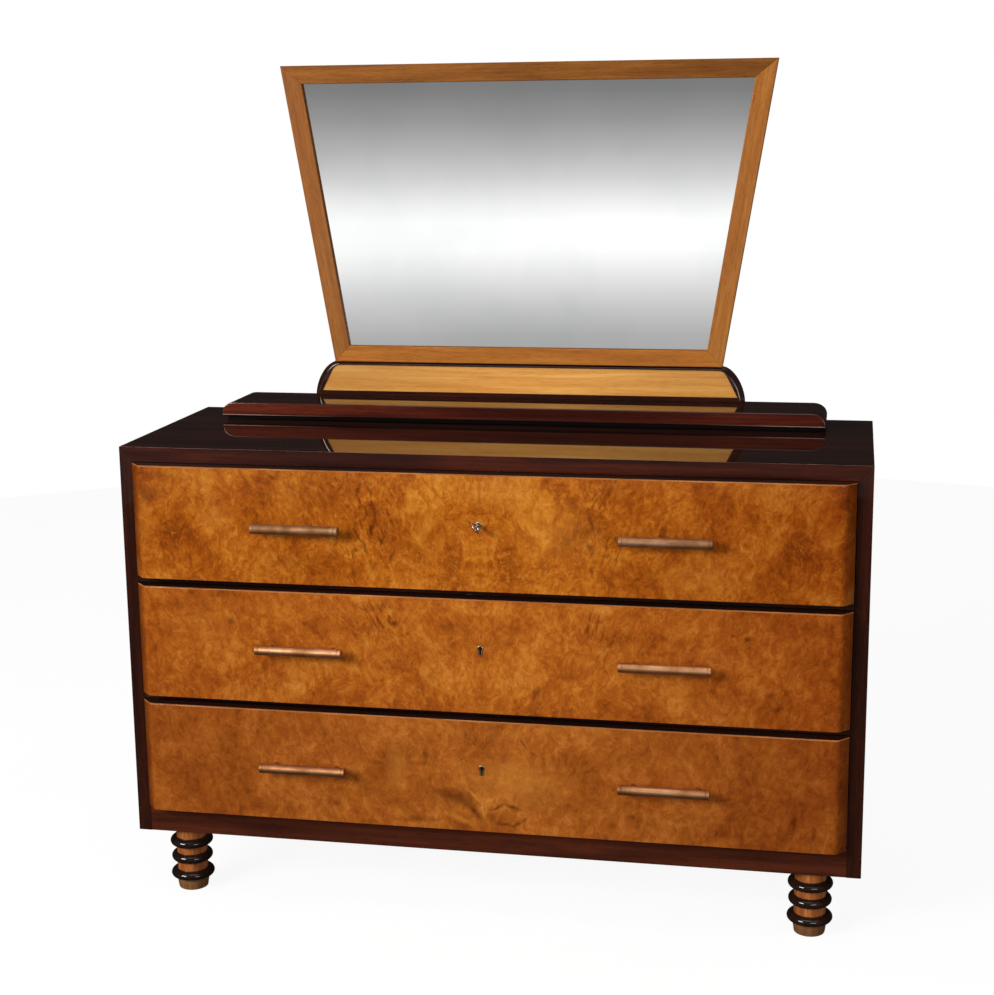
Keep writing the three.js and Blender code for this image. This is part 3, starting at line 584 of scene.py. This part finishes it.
def arc(steps, turn=quarter):
    # even angles from zero to a turn
    return [turn * i / steps for i in range(steps + 1)]


def circle(steps):
    return arc(steps, 2 * pi)[:-1]


def twoSided(right):
    # points of a right half, and back through its mirror image
    return [*right, *[Vector((-p.x, p.y)) for p in reversed(right)]]


def placed(name, data):
    # a new object in the scene
    thing = bpy.data.objects.new(name, data)
    scene.collection.objects.link(thing)
    return thing


def meshData(name, mesh):
    data = bpy.data.meshes.new(name)
    mesh.to_mesh(data)
    mesh.free()
    return data


def loft(rings, closed=False):
    # a body through rings with the same number of corners: with two ends, or closed like a ring itself
    mesh = bmesh.new()
    rows = [[mesh.verts.new(point) for point in ring] for ring in rings]
    following = rows[1:] + rows[:1] if closed else rows[1:]
    for low, high in zip(rows, following):
        for i in range(len(low)):
            j = (i + 1) % len(low)
            mesh.faces.new((low[i], low[j], high[j], high[i]))
    if not closed:
        mesh.faces.new(rows[0][::-1])
        mesh.faces.new(rows[-1])
    bmesh.ops.recalc_face_normals(mesh, faces=mesh.faces)
    return mesh


def turned(profile, sides, centre=(0, 0, 0), axis="Z"):
    # profile: (radius, place along the axis)
    mesh = loft([[(r * cos(a), r * sin(a), along) for a in circle(sides)] for r, along in profile])
    turns = {"Z": Matrix(), "X": Matrix.Rotation(quarter, 4, "Y"), "Y": Matrix.Rotation(-quarter, 4, "X")}
    mesh.transform(Matrix.Translation(centre) @ turns[axis])
    return mesh


def inset(outline, distance):
    # an (x, z) outline moved inwards by a distance; outlines run anticlockwise
    moved = []
    for i, here in enumerate(outline):
        before, after = Vector(outline[i - 1]), Vector(outline[(i + 1) % len(outline)])
        first = (Vector(here) - before).normalized()
        second = (after - Vector(here)).normalized()
        inFirst, inSecond = Vector((-first.y, first.x)), Vector((-second.y, second.x))
        half = (inFirst + inSecond).normalized()
        moved.append(Vector(here) + half * distance / max(half.dot(inFirst), shaping["leastCorner"]))
    return moved


def slab(outline, yFront, yBack, arris=0, steps=1):
    # a front-view outline given thickness, with a quarter round along its front edge
    def ring(y, setBack):
        return [Vector((x, y, z)) for x, z in (inset(outline, setBack) if setBack else outline)]

    rings = [ring(yFront + arris * (1 - cos(a)), arris * (1 - sin(a))) for a in arc(steps)]
    return loft([*rings, ring(yBack, 0)])


def box(low, high):
    (x0, y0, z0), (x1, y1, z1) = low, high
    corners = [(x0, z0), (x1, z0), (x1, z1), (x0, z1)]
    return loft([[Vector((x, y, z)) for x, z in corners] for y in (y0, y1)])


def cutAway(mesh, cutters):
    # what is left of a mesh once the cutters are taken out
    body, *tools = [placed("cutting", meshData("cutting", part)) for part in (mesh, *cutters)]
    for tool in tools:
        modifier = body.modifiers.new("cut", "BOOLEAN")
        modifier.object = tool
        modifier.solver = "EXACT"
    evaluated = body.evaluated_get(bpy.context.evaluated_depsgraph_get())
    result = bmesh.new()
    result.from_mesh(evaluated.to_mesh())
    evaluated.to_mesh_clear()
    for thing in [body, *tools]:
        data = thing.data
        bpy.data.objects.remove(thing)
        bpy.data.meshes.remove(data)
    return result


def joined(*meshes):
    whole = bmesh.new()
    for mesh in meshes:
        data = meshData("joining", mesh)
        whole.from_mesh(data)
        bpy.data.meshes.remove(data)
    return whole


def addPiece(node, mesh, materials, body="carcass", name=None):
    # a finished piece that stands for a node, is named after it and rides on a body
    first, *rest = node.split("_")
    name = name or first + "".join(word.capitalize() for word in rest)
    data = meshData(name, mesh)
    data.shade_smooth()
    data.set_sharp_from_angle(angle=shaping["smoothBelow"])
    for material in materials:
        data.materials.append(material)
    piece = placed(name, data)
    piece.modifiers.new("flat faces stay flat in gloss", "WEIGHTED_NORMAL").keep_sharp = True
    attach(piece, body)
    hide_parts(node)


def softened(node, width, steps=2, chosen=lambda edge: True):
    # the node's own shape with its arrises rounded; faces in one plane become one face first
    mesh = bmesh.new()
    mesh.from_mesh(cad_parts[node].data)
    bmesh.ops.remove_doubles(mesh, verts=mesh.verts, dist=shaping["merge"])
    bmesh.ops.dissolve_limit(mesh, angle_limit=shaping["coplanar"], verts=mesh.verts, edges=mesh.edges)
    inner = [edge for edge in mesh.edges if len(edge.link_faces) == 2]
    sharp = [edge for edge in inner if edge.calc_face_angle() > shaping["corner"] and chosen(edge)]
    bmesh.ops.bevel(mesh, geom=sharp, offset=width, segments=steps, affect="EDGES",
                    clamp_overlap=True, profile=shaping["profile"])
    return mesh


def easedPiece(node, arris, finish, body="carcass", steps=2):
    # the node's own shape with its arrises eased
    addPiece(node, softened(node, arris, steps), [finish], body)


# Carcass

carcass = {
    "arris": 1.2 * mm,
    "steps": 3,
    "innerArris": 0.6 * mm,
    "glueLine": 0.01 * mm,
    "endDepth": 0.1 * mm,  # the rail's end lies within this
    "skinDepth": 1 * mm,  # and the sides' outer arrises within this of the outside
    "straight": 0.999,  # how nearly an edge has to follow an axis
    # how far the normals of the top's front face and of the arris over it lean
    "front": -0.9,
    "arrisLean": 0.2,
}


def run(edge):
    # the direction of an edge, without its sign
    along = (edge.verts[1].co - edge.verts[0].co).normalized()
    return Vector((abs(along.x), abs(along.y), abs(along.z)))


def buildCarcass():
    # the arrises that are rounded, by the direction that each runs in; mitres and butted ends stay sharp
    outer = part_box("right_side")[1].x - carcass["skinDepth"]
    straight, lean = carcass["straight"], carcass["arrisLean"]

    def alongSide(edge):
        return max(run(edge).y, run(edge).z) > straight and min(abs(v.co.x) for v in edge.verts) > outer

    def alongTop(edge):
        return max(run(edge).x, run(edge).y) > straight

    def alongRail(edge):
        return run(edge).x > straight

    finish = {"left_side": (ebonisedUpright, alongSide), "right_side": (ebonisedUpright, alongSide),
              "top_board": (ebonisedAcross, alongTop), "bottom_rail": (ebonisedRed, alongRail),
              "step_base": (blackStrip, alongRail)}
    for node, (material, chosen) in finish.items():
        mesh = softened(node, carcass["arris"], carcass["steps"], chosen)
        if node == "bottom_rail":
            # its ends are glued to the sides, so no light passes
            end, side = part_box(node)[1].x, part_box("right_side")[0].x
            for vert in mesh.verts:
                if abs(vert.co.x) > end - carcass["endDepth"]:
                    vert.co.x = copysign(side - carcass["glueLine"], vert.co.x)
        # the top's front face is deep red, and the arris over it carries a pale painted highlight
        if node == "top_board":
            for face in mesh.faces:
                if face.normal.y < carcass["front"]:
                    face.material_index = 1
                elif face.normal.y < -lean and face.normal.z > lean:
                    face.material_index = 2
        addPiece(node, mesh, [material, ebonisedDeepRed, carcassArrisHighlight])
    arris = carcass["innerArris"]
    for height in ("upper", "lower"):
        easedPiece(f"{height}_divider_rail", arris, ebonisedInner)
    for height in ("upper", "lower"):
        for side in ("left", "right"):
            easedPiece(f"{height}_{side}_runner", arris, poplarInward)
    easedPiece("bottom_board", arris, poplarAcross)
    easedPiece("back_panel", arris, plywoodUpright)


buildCarcass()
print("carcass done")

# Feet

foot = {
    "soleRadius": 26.75,
    "soleEdge": 1.5,
    "cuffRadius": 28.5,
    "cuffHeight": 13.5,
    "cuffEase": 0.5,
    "stemRadius": 28,
    "spigotRadius": 17,
    "rings": ((29, 39.5), (61.5, 37.5), (91.5, 39)),  # height, radius
    "ringHalfHeight": 8.6,
    "ringSteps": 16,
    "sides": 72,
    "seatGap": 0.3,
}


def buildFoot(node):
    low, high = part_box(node)
    centre = ((low.x + high.x) / 2, (low.y + high.y) / 2, 0)
    sole, edge, stem = foot["soleRadius"], foot["soleEdge"], foot["stemRadius"]
    cuff, cuffTop, ease = foot["cuffRadius"], foot["cuffHeight"], foot["cuffEase"]
    profile = [(sole - edge, 0), (sole - edge / 3, edge / 3), (sole, edge), (cuff, cuffTop - ease),
               (cuff - ease, cuffTop), (stem, cuffTop)]
    ringRows = []
    for height, radius in foot["rings"]:
        start = len(profile)
        for a in arc(foot["ringSteps"], pi):
            bulge = (radius - stem) * sin(a)
            profile.append((stem + bulge, height - foot["ringHalfHeight"] * cos(a)))
        ringRows.append((profile[start][1] * mm, profile[-1][1] * mm))
    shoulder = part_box("bottom_rail")[0].z / mm - foot["seatGap"]
    spigot = foot["spigotRadius"]
    profile += [(stem, shoulder), (spigot, shoulder), (spigot, high.z / mm)]
    mesh = turned([(r * mm, z * mm) for r, z in profile], foot["sides"], centre)
    for face in mesh.faces:
        height = face.calc_center_median().z
        if any(a < height < b for a, b in ringRows):
            face.material_index = 1
        elif height < ringRows[0][0]:
            face.material_index = 2
    addPiece(node, mesh, [footStem, blackRings, footSole])


for row in ("front", "back"):
    for side in ("left", "right"):
        buildFoot(f"{row}_{side}_foot")
print("feet done")

# Drawers

drawer = {
    "splayWidth": 17.75 * mm,
    "splayDepth": 20 * mm,
    "splaySoftening": 6 * mm,
    "splaySteps": 10,
    "topArris": 3 * mm,
    "bottomArris": 1.5 * mm,
    "arrisSteps": 7,
    "boxArris": 0.8 * mm,
    # the part of the top arris that carries the pale painted highlight, by the lean of its normals
    "highlightFrom": 0.3,
    "highlightTo": 0.85,
}
keyhole = {
    "width": 11 * mm,
    "height": 19 * mm,
    "slotWidth": 7.5 * mm,
    "rim": 2.2 * mm,
    "rimEdge": 0.9 * mm,
    "rimSteps": 6,
    "depth": 6 * mm,
    "fit": 0.3 * mm,
    "headSteps": 28,
    "footSteps": 12,
    "overrun": 4 * mm,
}


def bezier(a, b, c, steps):
    # quadratic curve from a to c, drawn towards b
    shares = [i / steps for i in range(steps + 1)]
    return [a * (1 - t) ** 2 + b * 2 * t * (1 - t) + c * t * t for t in shares]


def keyAxis(name):
    # the height at which a key turns in a drawer's lock
    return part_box(f"{name}_drawer_keyhole_liner")[1].z - keyhole["width"] / 2


def keyholeOutline(name, growth):
    # round head over a straight slot with a round foot, anticlockwise in (x, z)
    head = keyhole["width"] / 2 + growth
    slot = keyhole["slotWidth"] / 2 + growth
    headCentre = keyAxis(name)
    footCentre = headCentre - keyhole["height"] + keyhole["width"] / 2 + keyhole["slotWidth"] / 2
    shoulder = asin(slot / head)
    headTurn = arc(keyhole["headSteps"], 2 * pi - 2 * shoulder)
    headAngles = [shoulder - quarter + a for a in headTurn]
    footAngles = [pi + a for a in arc(keyhole["footSteps"], pi)]
    return ([Vector((head * cos(a), headCentre + head * sin(a))) for a in headAngles]
            + [Vector((slot * cos(a), footCentre + slot * sin(a))) for a in footAngles])


def drawerFront(name):
    body = f"{name}_drawer"
    low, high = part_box(f"{body}_front")

    def plan(z, setBack):
        face = low.y + setBack
        splayStart = Vector((high.x, face + drawer["splayDepth"]))
        corner = Vector((high.x - drawer["splayWidth"], face))
        onSplay = corner + (splayStart - corner).normalized() * drawer["splaySoftening"]
        onFace = Vector((corner.x - drawer["splaySoftening"], face))
        right = [Vector((high.x, high.y)), splayStart, *bezier(onSplay, corner, onFace, drawer["splaySteps"])]
        return [Vector((p.x, p.y, z)) for p in twoSided(right)]

    angles = arc(drawer["arrisSteps"])
    under, over = drawer["bottomArris"], drawer["topArris"]
    rings = [plan(low.z + under * (1 - cos(a)), under * (1 - sin(a))) for a in angles]
    rings += [plan(high.z - over * (1 - cos(a)), over * (1 - sin(a))) for a in reversed(angles)]
    lockLow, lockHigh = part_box(f"{body}_lock_case")
    bottomLow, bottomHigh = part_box(f"{body}_bottom")
    fit, beyond = keyhole["fit"], keyhole["overrun"]
    around = Vector((fit, fit, fit))
    seat = slab(keyholeOutline(name, fit), low.y - beyond, low.y + keyhole["depth"])
    path = slab(keyholeOutline(name, -keyhole["rim"]), low.y, lockLow.y + fit)
    recess = box(lockLow - around, (lockHigh.x + fit, high.y + beyond, high.z + beyond))
    groove = box(bottomLow - around, (bottomHigh.x + fit, high.y + beyond, bottomHigh.z + fit))
    mesh = cutAway(loft(rings), [seat, path, recess, groove])
    # painted highlight: the top arris gets the pale line, and the top face above it the dark unpolished
    # finish
    for face in mesh.faces:
        if face.calc_center_median().z > high.z - over and face.normal.z > drawer["highlightFrom"]:
            face.material_index = 1 if face.normal.z < drawer["highlightTo"] else 2
    material = burlVeneer(f"burl veneer, {name} drawer", burlOf[name], low.z)
    addPiece(f"{body}_front", mesh, [material, burlArrisHighlight, ebonisedInner], body)


def keyholeLiner(name):
    node = f"{name}_drawer_keyhole_liner"
    front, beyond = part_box(node)[0].y, keyhole["overrun"]
    back = front + keyhole["depth"]
    outer = slab(keyholeOutline(name, 0), front, back, keyhole["rimEdge"], keyhole["rimSteps"])
    opening = slab(keyholeOutline(name, -keyhole["rim"]), front - beyond, back + beyond)
    addPiece(node, cutAway(outer, [opening]), [lockBrass], f"{name}_drawer")


handle = {
    "edge": 1.2 * mm,
    "capLength": 6 * mm,
    "grooveWidth": 1.2 * mm,
    # its section: share of the width, depth
    "groove": ((0, 0), (0.35, 0.6 * mm), (0.65, 0.6 * mm), (1, 0)),
    "postDiameter": 10 * mm,
    "postSpacing": 110 * mm,
    "postSides": 32,
    "sides": 56,
    "edgeSteps": 4,
}


def barHandle(name, side):
    node = f"{name}_drawer_{side}_handle"
    low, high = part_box(node)
    half, radius = (high.x - low.x) / 2, (high.z - low.z) / 2
    centre = Vector(((low.x + high.x) / 2, low.y + radius, (low.z + high.z) / 2))
    edge, capInner = handle["edge"], half - handle["capLength"]
    end = [(radius - edge * (1 - sin(a)), half - edge * (1 - cos(a))) for a in arc(handle["edgeSteps"])]
    for share, depth in handle["groove"]:
        end.append((radius - depth, capInner - handle["grooveWidth"] * share))
    profile = [(r, -along) for r, along in end] + [(r, along) for r, along in reversed(end)]
    bar = turned(profile, handle["sides"], centre, "X")
    post, reach = handle["postDiameter"] / 2, handle["postSpacing"] / 2
    posts = [turned([(post, centre.y), (post, high.y)], handle["postSides"],
                    (centre.x + off, 0, centre.z), "Y") for off in (-reach, reach)]
    metal = brownedBar if name == "top" else copperBar
    addPiece(node, joined(bar, *posts), [metal], f"{name}_drawer")


def buildDrawer(name):
    drawerFront(name)
    keyholeLiner(name)
    body, arris = f"{name}_drawer", drawer["boxArris"]
    for side in ("left", "right"):
        barHandle(name, side)
        easedPiece(f"{body}_{side}_side", arris, poplarInward, body)
    easedPiece(f"{body}_back", arris, poplarAcross, body)
    easedPiece(f"{body}_bottom", arris / 2, plywoodAcross, body)
    easedPiece(f"{body}_lock_case", arris / 2, lockBrass, body)
    easedPiece(f"{body}_lock_bolt", arris / 2, lockSteel, f"{name}_bolt")


for name in ("top", "middle", "bottom"):
    buildDrawer(name)
    print(name, "drawer done")

# Key, standing in the top drawer's lock

key = {
    "turn": 40,  # degrees from upright
    "standOff": 24 * mm,  # from the drawer's face to the bow's centre
    "bowDiameter": 22 * mm,
    "wire": 3.2 * mm,
    "bowSteps": 48,
    "wireSides": 16,
    "shaft": 5 * mm,
    "collar": 7 * mm,
    "collarLength": 3 * mm,
    "collarEdge": 0.6 * mm,
    "bitThickness": 2.5 * mm,
    "bitReach": 11 * mm,
    "bitBehindPlate": 1.8 * mm,
    "shaftSides": 32,
}


def buildKey():
    wire, ringRadius = key["wire"] / 2, (key["bowDiameter"] - key["wire"]) / 2
    across = Vector((1, 0, 0))
    rings = []
    for a in circle(key["bowSteps"]):
        out = Vector((0, cos(a), sin(a)))
        rings.append([out * (ringRadius + wire * cos(b)) + across * wire * sin(b)
                      for b in circle(key["wireSides"])])
    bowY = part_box("top_drawer_front")[0].y - key["standOff"]
    radius, collar, edge = key["shaft"] / 2, key["collar"] / 2, key["collarEdge"]
    start = key["bowDiameter"] / 2
    shaftStart, shaftEnd = start - wire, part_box("key")[1].y - bowY
    end = start + key["collarLength"]
    profile = [(radius, shaftStart), (radius, start - edge), (collar - edge, start), (collar, start + edge),
               (collar, end - edge), (collar - edge, end), (radius, end + edge), (radius, shaftEnd - edge),
               (radius - edge, shaftEnd)]
    shaft = turned(profile, key["shaftSides"], (0, 0, 0), "Y")
    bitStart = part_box("top_drawer_lock_case")[0].y + key["bitBehindPlate"] - bowY
    halfBit = key["bitThickness"] / 2
    bit = box((-halfBit, bitStart, -key["bitReach"]), (halfBit, shaftEnd, 0))
    mesh = joined(loft(rings, closed=True), shaft, bit)
    turn = Matrix.Rotation(radians(-key["turn"]), 4, "Y")
    mesh.transform(Matrix.Translation((0, bowY, keyAxis("top"))) @ turn)
    addPiece("key", mesh, [lockSteel], "key", "keyOfTopDrawer")


buildKey()
print("key done")

# Step and mirror base

step = {
    "cornerWidth": 25 * mm,
    "cornerHeight": 20 * mm,
    "cornerSteps": 20,
    "arris": 2.2 * mm,
    "arrisSteps": 6,
    # how far the normals of the upper face and of the lower arris with the painted highlight lean
    "upward": 0.5,
    "arrisLean": 0.2,
}
mirrorBase = {
    "topHalfWidth": 373 * mm,
    "swell": 42 * mm,
    "swellPower": 1.7,
    "swellSteps": 36,
    "endArris": 10 * mm,  # the ends slope back right from the panel
    "topArris": 4.5 * mm,
    "arrisDepth": 6 * mm,
    "arrisSoftening": 0.18,  # of the slope, at each of its two edges
    "arrisSteps": 6,
    "panelFit": 0.3 * mm,
    "overrun": 4 * mm,
}
panel = {
    "cornerRadius": 12 * mm,
    "cornerSteps": 12,
    "arris": 0.6 * mm,
    "arrisSteps": 3,
    "topHalfWidth": 376 * mm,
}


def buildStep():
    low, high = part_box("step_board")
    wide, tall = step["cornerWidth"], step["cornerHeight"]
    flat, cornerZ = high.x - wide, high.z - tall
    right = [Vector((flat + wide * cos(a), cornerZ + tall * sin(a))) for a in arc(step["cornerSteps"])]
    outline = [Vector((low.x, low.z)), Vector((high.x, low.z)), *twoSided(right)]
    mesh = slab(outline, low.y, high.y, step["arris"], step["arrisSteps"])
    for face in mesh.faces:
        if face.normal.z > step["upward"]:
            face.material_index = 1
        # the lower arris carries the pale painted highlight
        elif max(face.normal.z, face.normal.y) < -step["arrisLean"]:
            face.material_index = 2
    addPiece("step_board", mesh, [redWalnut, ebonisedAcross, stepArrisHighlight])


def panelOutline(growth):
    low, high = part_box("mirror_base_panel")
    foot = Vector((high.x + growth, low.z - growth))
    head = Vector((panel["topHalfWidth"] + growth, high.z + growth))
    onEnd = head + (foot - head).normalized() * panel["cornerRadius"]
    onTop = Vector((head.x - panel["cornerRadius"], head.y))
    right = [foot, *bezier(onEnd, head, onTop, panel["cornerSteps"])]
    return [Vector((-foot.x, foot.y)), *right, *[Vector((-p.x, p.y)) for p in reversed(right[1:])]]


def buildMirrorBase():
    low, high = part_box("mirror_base")
    height = high.z - low.z
    power = 2 / mirrorBase["swellPower"]
    half, swell = mirrorBase["topHalfWidth"], mirrorBase["swell"]
    outline = twoSided([Vector((half + swell * max(cos(a), 0) ** power, low.z + height * sin(a) ** power))
                        for a in arc(mirrorBase["swellSteps"])])

    def ring(y, share):
        across = 1 - share * mirrorBase["endArris"] / high.x
        up = 1 - share * mirrorBase["topArris"] / height
        return [Vector((p.x * across, y, low.z + (p.y - low.z) * up)) for p in outline]

    # the arris in section: (share of its set-back, share of its depth)
    soft = mirrorBase["arrisSoftening"]
    slope = Vector((-(1 - soft), 1 - soft))
    first, last = Vector((1 - soft, 0)), Vector((0, 1 - soft))
    section = [*bezier(Vector((1, 0)), first, first + slope * soft, mirrorBase["arrisSteps"]),
               *bezier(last - slope * soft, last, Vector((0, 1)), mirrorBase["arrisSteps"])]
    rings = [ring(low.y + mirrorBase["arrisDepth"] * p.y, p.x) for p in section]
    rings.append(ring(high.y, 0))
    panelLow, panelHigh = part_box("mirror_base_panel")
    fit = mirrorBase["panelFit"]
    recess = slab(panelOutline(fit), low.y - mirrorBase["overrun"], panelHigh.y + fit)
    addPiece("mirror_base", cutAway(loft(rings), [recess]), [ebonisedAcross])
    mesh = slab(panelOutline(0), panelLow.y, panelHigh.y, panel["arris"], panel["arrisSteps"])
    addPiece("mirror_base_panel", mesh, [paleWalnut])


buildStep()
buildMirrorBase()
print("step and mirror base done")

# Mirror

mirror = {
    "height": 558 * mm,
    "flare": 92 * mm,  # how far each stile leans out over the height
    "arris": 1.6 * mm,
    "arrisSteps": 3,
    "longEdge": 100 * mm,
    "glassArris": 0.5 * mm,
    "boardArris": 0.6 * mm,
    "battenArris": 2 * mm,
    "battenSteps": 3,
}


def alongMember(edge):
    # an edge that runs along its member and not across a mitre or through the thickness
    return edge.calc_length() > mirror["longEdge"]


def buildMirror():
    lean = atan2(mirror["flare"], mirror["height"])
    turns = {"bottom_rail": 0, "top_rail": 0, "left_stile": quarter + lean, "right_stile": quarter - lean}
    for name, turn in turns.items():
        node = f"mirror_frame_{name}"
        finish = f"light walnut, {name.replace('_', ' ')}"
        material = straightGrain(finish, lightWalnut, (0, -turn, 0), colours=frameColours[name])
        if name in framePaintedShade:
            material = paintedLightAlong(material, framePaintedShade[name])
        mesh = softened(node, mirror["arris"], mirror["arrisSteps"], alongMember)
        addPiece(node, mesh, [material])
    easedPiece("mirror_glass", mirror["glassArris"], mirrorSilver, steps=1)
    easedPiece("mirror_backboard", mirror["boardArris"], plywoodAcross)
    for side in ("left", "right"):
        batten = mirror["battenArris"]
        easedPiece(f"{side}_mirror_batten", batten, poplarUpright, steps=mirror["battenSteps"])


buildMirror()
print("mirror done")

# Floor, light and camera

studio = {
    "floorRadius": 4.0,
    "floorSides": 96,
    "floorSurface": {"Roughness": 0.9, "Specular IOR Level": 0.1},
    "floorLook": 0.86,  # how much of the floor's look to the camera is plain white
    "floorWhite": 1.07,
    "floorTones": ((0.3, "#dcdcda"), (0.7, "#e4e4e2")),
    "floorDrop": 0.2 * mm,
    "mottleMm": 400,
    "floorBounce": 0.25,
    "floorInGloss": 0.03,
    "ambient": 0.3,
    "behindInGloss": 0.02,
    # height and brightness; at height 0.5 is the horizon, and one degree is about 0.0087
    "floorInMirror": (0.2, 0.2),
    "wall": [(0.38, 0.05), (0.41, 0.16), (0.4398, 0.38), (0.443, 0.43), (0.4513, 0.585), (0.4596, 0.81),
             (0.4645, 0.95), (0.4715, 1.0), (0.4758, 0.89), (0.484, 0.62), (0.4922, 0.43), (0.5, 0.295),
             (0.508, 0.2), (0.514, 0.17), (0.56, 0.11), (0.72, 0.09), (0.86, 0.1), (0.93, 0.55), (1.0, 0.6)],
    "wallGain": 1.1,
    # between which parts of a direction the wall comes in towards the front, and the ceiling upwards
    "frontFade": (-0.15, -0.45),
    "ceilingFade": (0.75, 0.9),
    "aim": (0, 0, 0.6),
    # place, width, height, watts
    "lamps": {
        "left key": ((-3.2, -3.9, 2.6), 2.2, 1.5, 235),
        "right reflector": ((1.35, -2.3, 0.85), 1.2, 0.6, 13),
        "overhead": ((0, -0.9, 3.0), 1.8, 0.8, 12),
    },
}


def buildFloor():
    disc = bmesh.new()
    bmesh.ops.create_circle(disc, cap_ends=True, segments=studio["floorSides"], radius=studio["floorRadius"])
    floor = placed("floor", meshData("floor", disc))
    floor.location.z = -studio["floorDrop"]
    material, tree, shader = newMaterial("pale studio floor", studio["floorSurface"])
    mottle = cloudiness(tree, patternPlace(tree, (studio["mottleMm"],) * 3)).outputs[0]
    tone = ramped(tree, mottle, studio["floorTones"])
    tree.links.new(tone, shader.inputs["Base Color"])
    rays = addNode(tree, "LightPath").outputs

    def either(share, first, second):
        return addNode(tree, "MixShader", {0: share, 1: first.outputs[0], 2: second.outputs[0]})

    bounce = studio["floorBounce"]
    white = addNode(tree, "Emission", {"Strength": studio["floorWhite"]})
    dim = addNode(tree, "Emission", {"Strength": studio["floorInGloss"]})
    grey = addNode(tree, "BsdfDiffuse", {"Color": (bounce, bounce, bounce, 1.0)})
    toCamera = either(studio["floorLook"], shader, white)
    look = either(rays["Is Camera Ray"], either(rays["Is Glossy Ray"], grey, dim), toCamera)
    # the mirror looks through the disc at the world's own floor, so it shows no rim
    shown = either(rays["Is Singular Ray"], look, addNode(tree, "BsdfTransparent"))
    tree.links.new(shown.outputs[0], tree.nodes["Material Output"].inputs["Surface"])
    floor.data.materials.append(material)


def buildWorld():
    # White to the camera. In gloss it is a dark room with a softly graded white wall in front of the dresser,
    # which the mirror shows as a bright band between greys.
    world = bpy.data.worlds.new("studio")
    scene.world = world
    world.use_nodes = True
    tree = world.node_tree
    towards = addNode(tree, "SeparateXYZ", {0: addNode(tree, "TexCoord").outputs["Generated"]}).outputs
    height = combined(tree, "MULTIPLY_ADD", towards["Z"], 0.5, 0.5)
    rays = addNode(tree, "LightPath").outputs
    wall = studio["wall"]
    # below the wall's foot the mirror alone shows a grey floor
    inMirror = ramped(tree, height, [studio["floorInMirror"], *wall[2:]])
    reflected = blended(tree, rays["Is Singular Ray"], ramped(tree, height, wall), inMirror)
    inputs = {0: reflected, "Scale": studio["wallGain"]}
    brighter = addNode(tree, "VectorMath", inputs, operation="SCALE").outputs[0]
    inFront = faded(tree, towards["Y"], *studio["frontFade"])
    lively = combined(tree, "MAXIMUM", inFront, faded(tree, towards["Z"], *studio["ceilingFade"]))
    dark, ambient = [(grey, grey, grey, 1.0) for grey in (studio["behindInGloss"], studio["ambient"])]
    lit = blended(tree, rays["Is Glossy Ray"], ambient, blended(tree, lively, dark, brighter))
    seen = blended(tree, rays["Is Camera Ray"], lit, (1.0, 1.0, 1.0, 1.0))
    tree.links.new(seen, tree.nodes["Background"].inputs["Color"])


def softbox(name, place, width, height, watts, unlit):
    # a rectangular lamp that faces the dresser and lights all of it but what is in one collection
    lamp = bpy.data.lights.new(name, "AREA")
    lamp.shape = "RECTANGLE"
    lamp.size, lamp.size_y, lamp.energy = width, height, watts
    thing = placed(name, lamp)
    thing.location = place
    thing.rotation_mode = "QUATERNION"
    thing.rotation_quaternion = (Vector(place) - Vector(studio["aim"])).to_track_quat("Z", "Y")
    thing.light_linking.receiver_collection = unlit


# solved from the carcass's straight edges in the photograph
viewpoint = {
    "place": (0.60857, -3.10278, 1.3874),
    "turns": (11.3111, 11.8819, -0.6196),  # yaw, pitch and roll in degrees
    "lens": 64.84,
    "sensor": 36,
}


def buildCamera():
    yaw, pitch, roll = [radians(turn) for turn in viewpoint["turns"]]
    ahead = Vector((-sin(yaw) * cos(pitch), cos(yaw) * cos(pitch), -sin(pitch)))
    right = Vector((cos(yaw), sin(yaw), 0))
    up = right.cross(ahead)
    across = right * cos(roll) + up * sin(roll)
    upward = up * cos(roll) - right * sin(roll)
    lens = bpy.data.cameras.new("camera")
    lens.sensor_width = viewpoint["sensor"]
    lens.lens = viewpoint["lens"]
    camera = placed("camera", lens)
    camera.matrix_world = Matrix((across, upward, -ahead)).transposed().to_4x4()
    camera.location = viewpoint["place"]
    scene.camera = camera


buildFloor()
buildWorld()
# no lamp shows in the mirror
unlit = bpy.data.collections.new("mirror")
unlit.objects.link(bpy.data.objects["mirrorGlass"])
unlit.collection_objects[0].light_linking.link_state = "EXCLUDE"
for name, settings in studio["lamps"].items():
    softbox(name, *settings, unlit)
buildCamera()
scene.view_settings.view_transform = "Standard"
print("studio done")
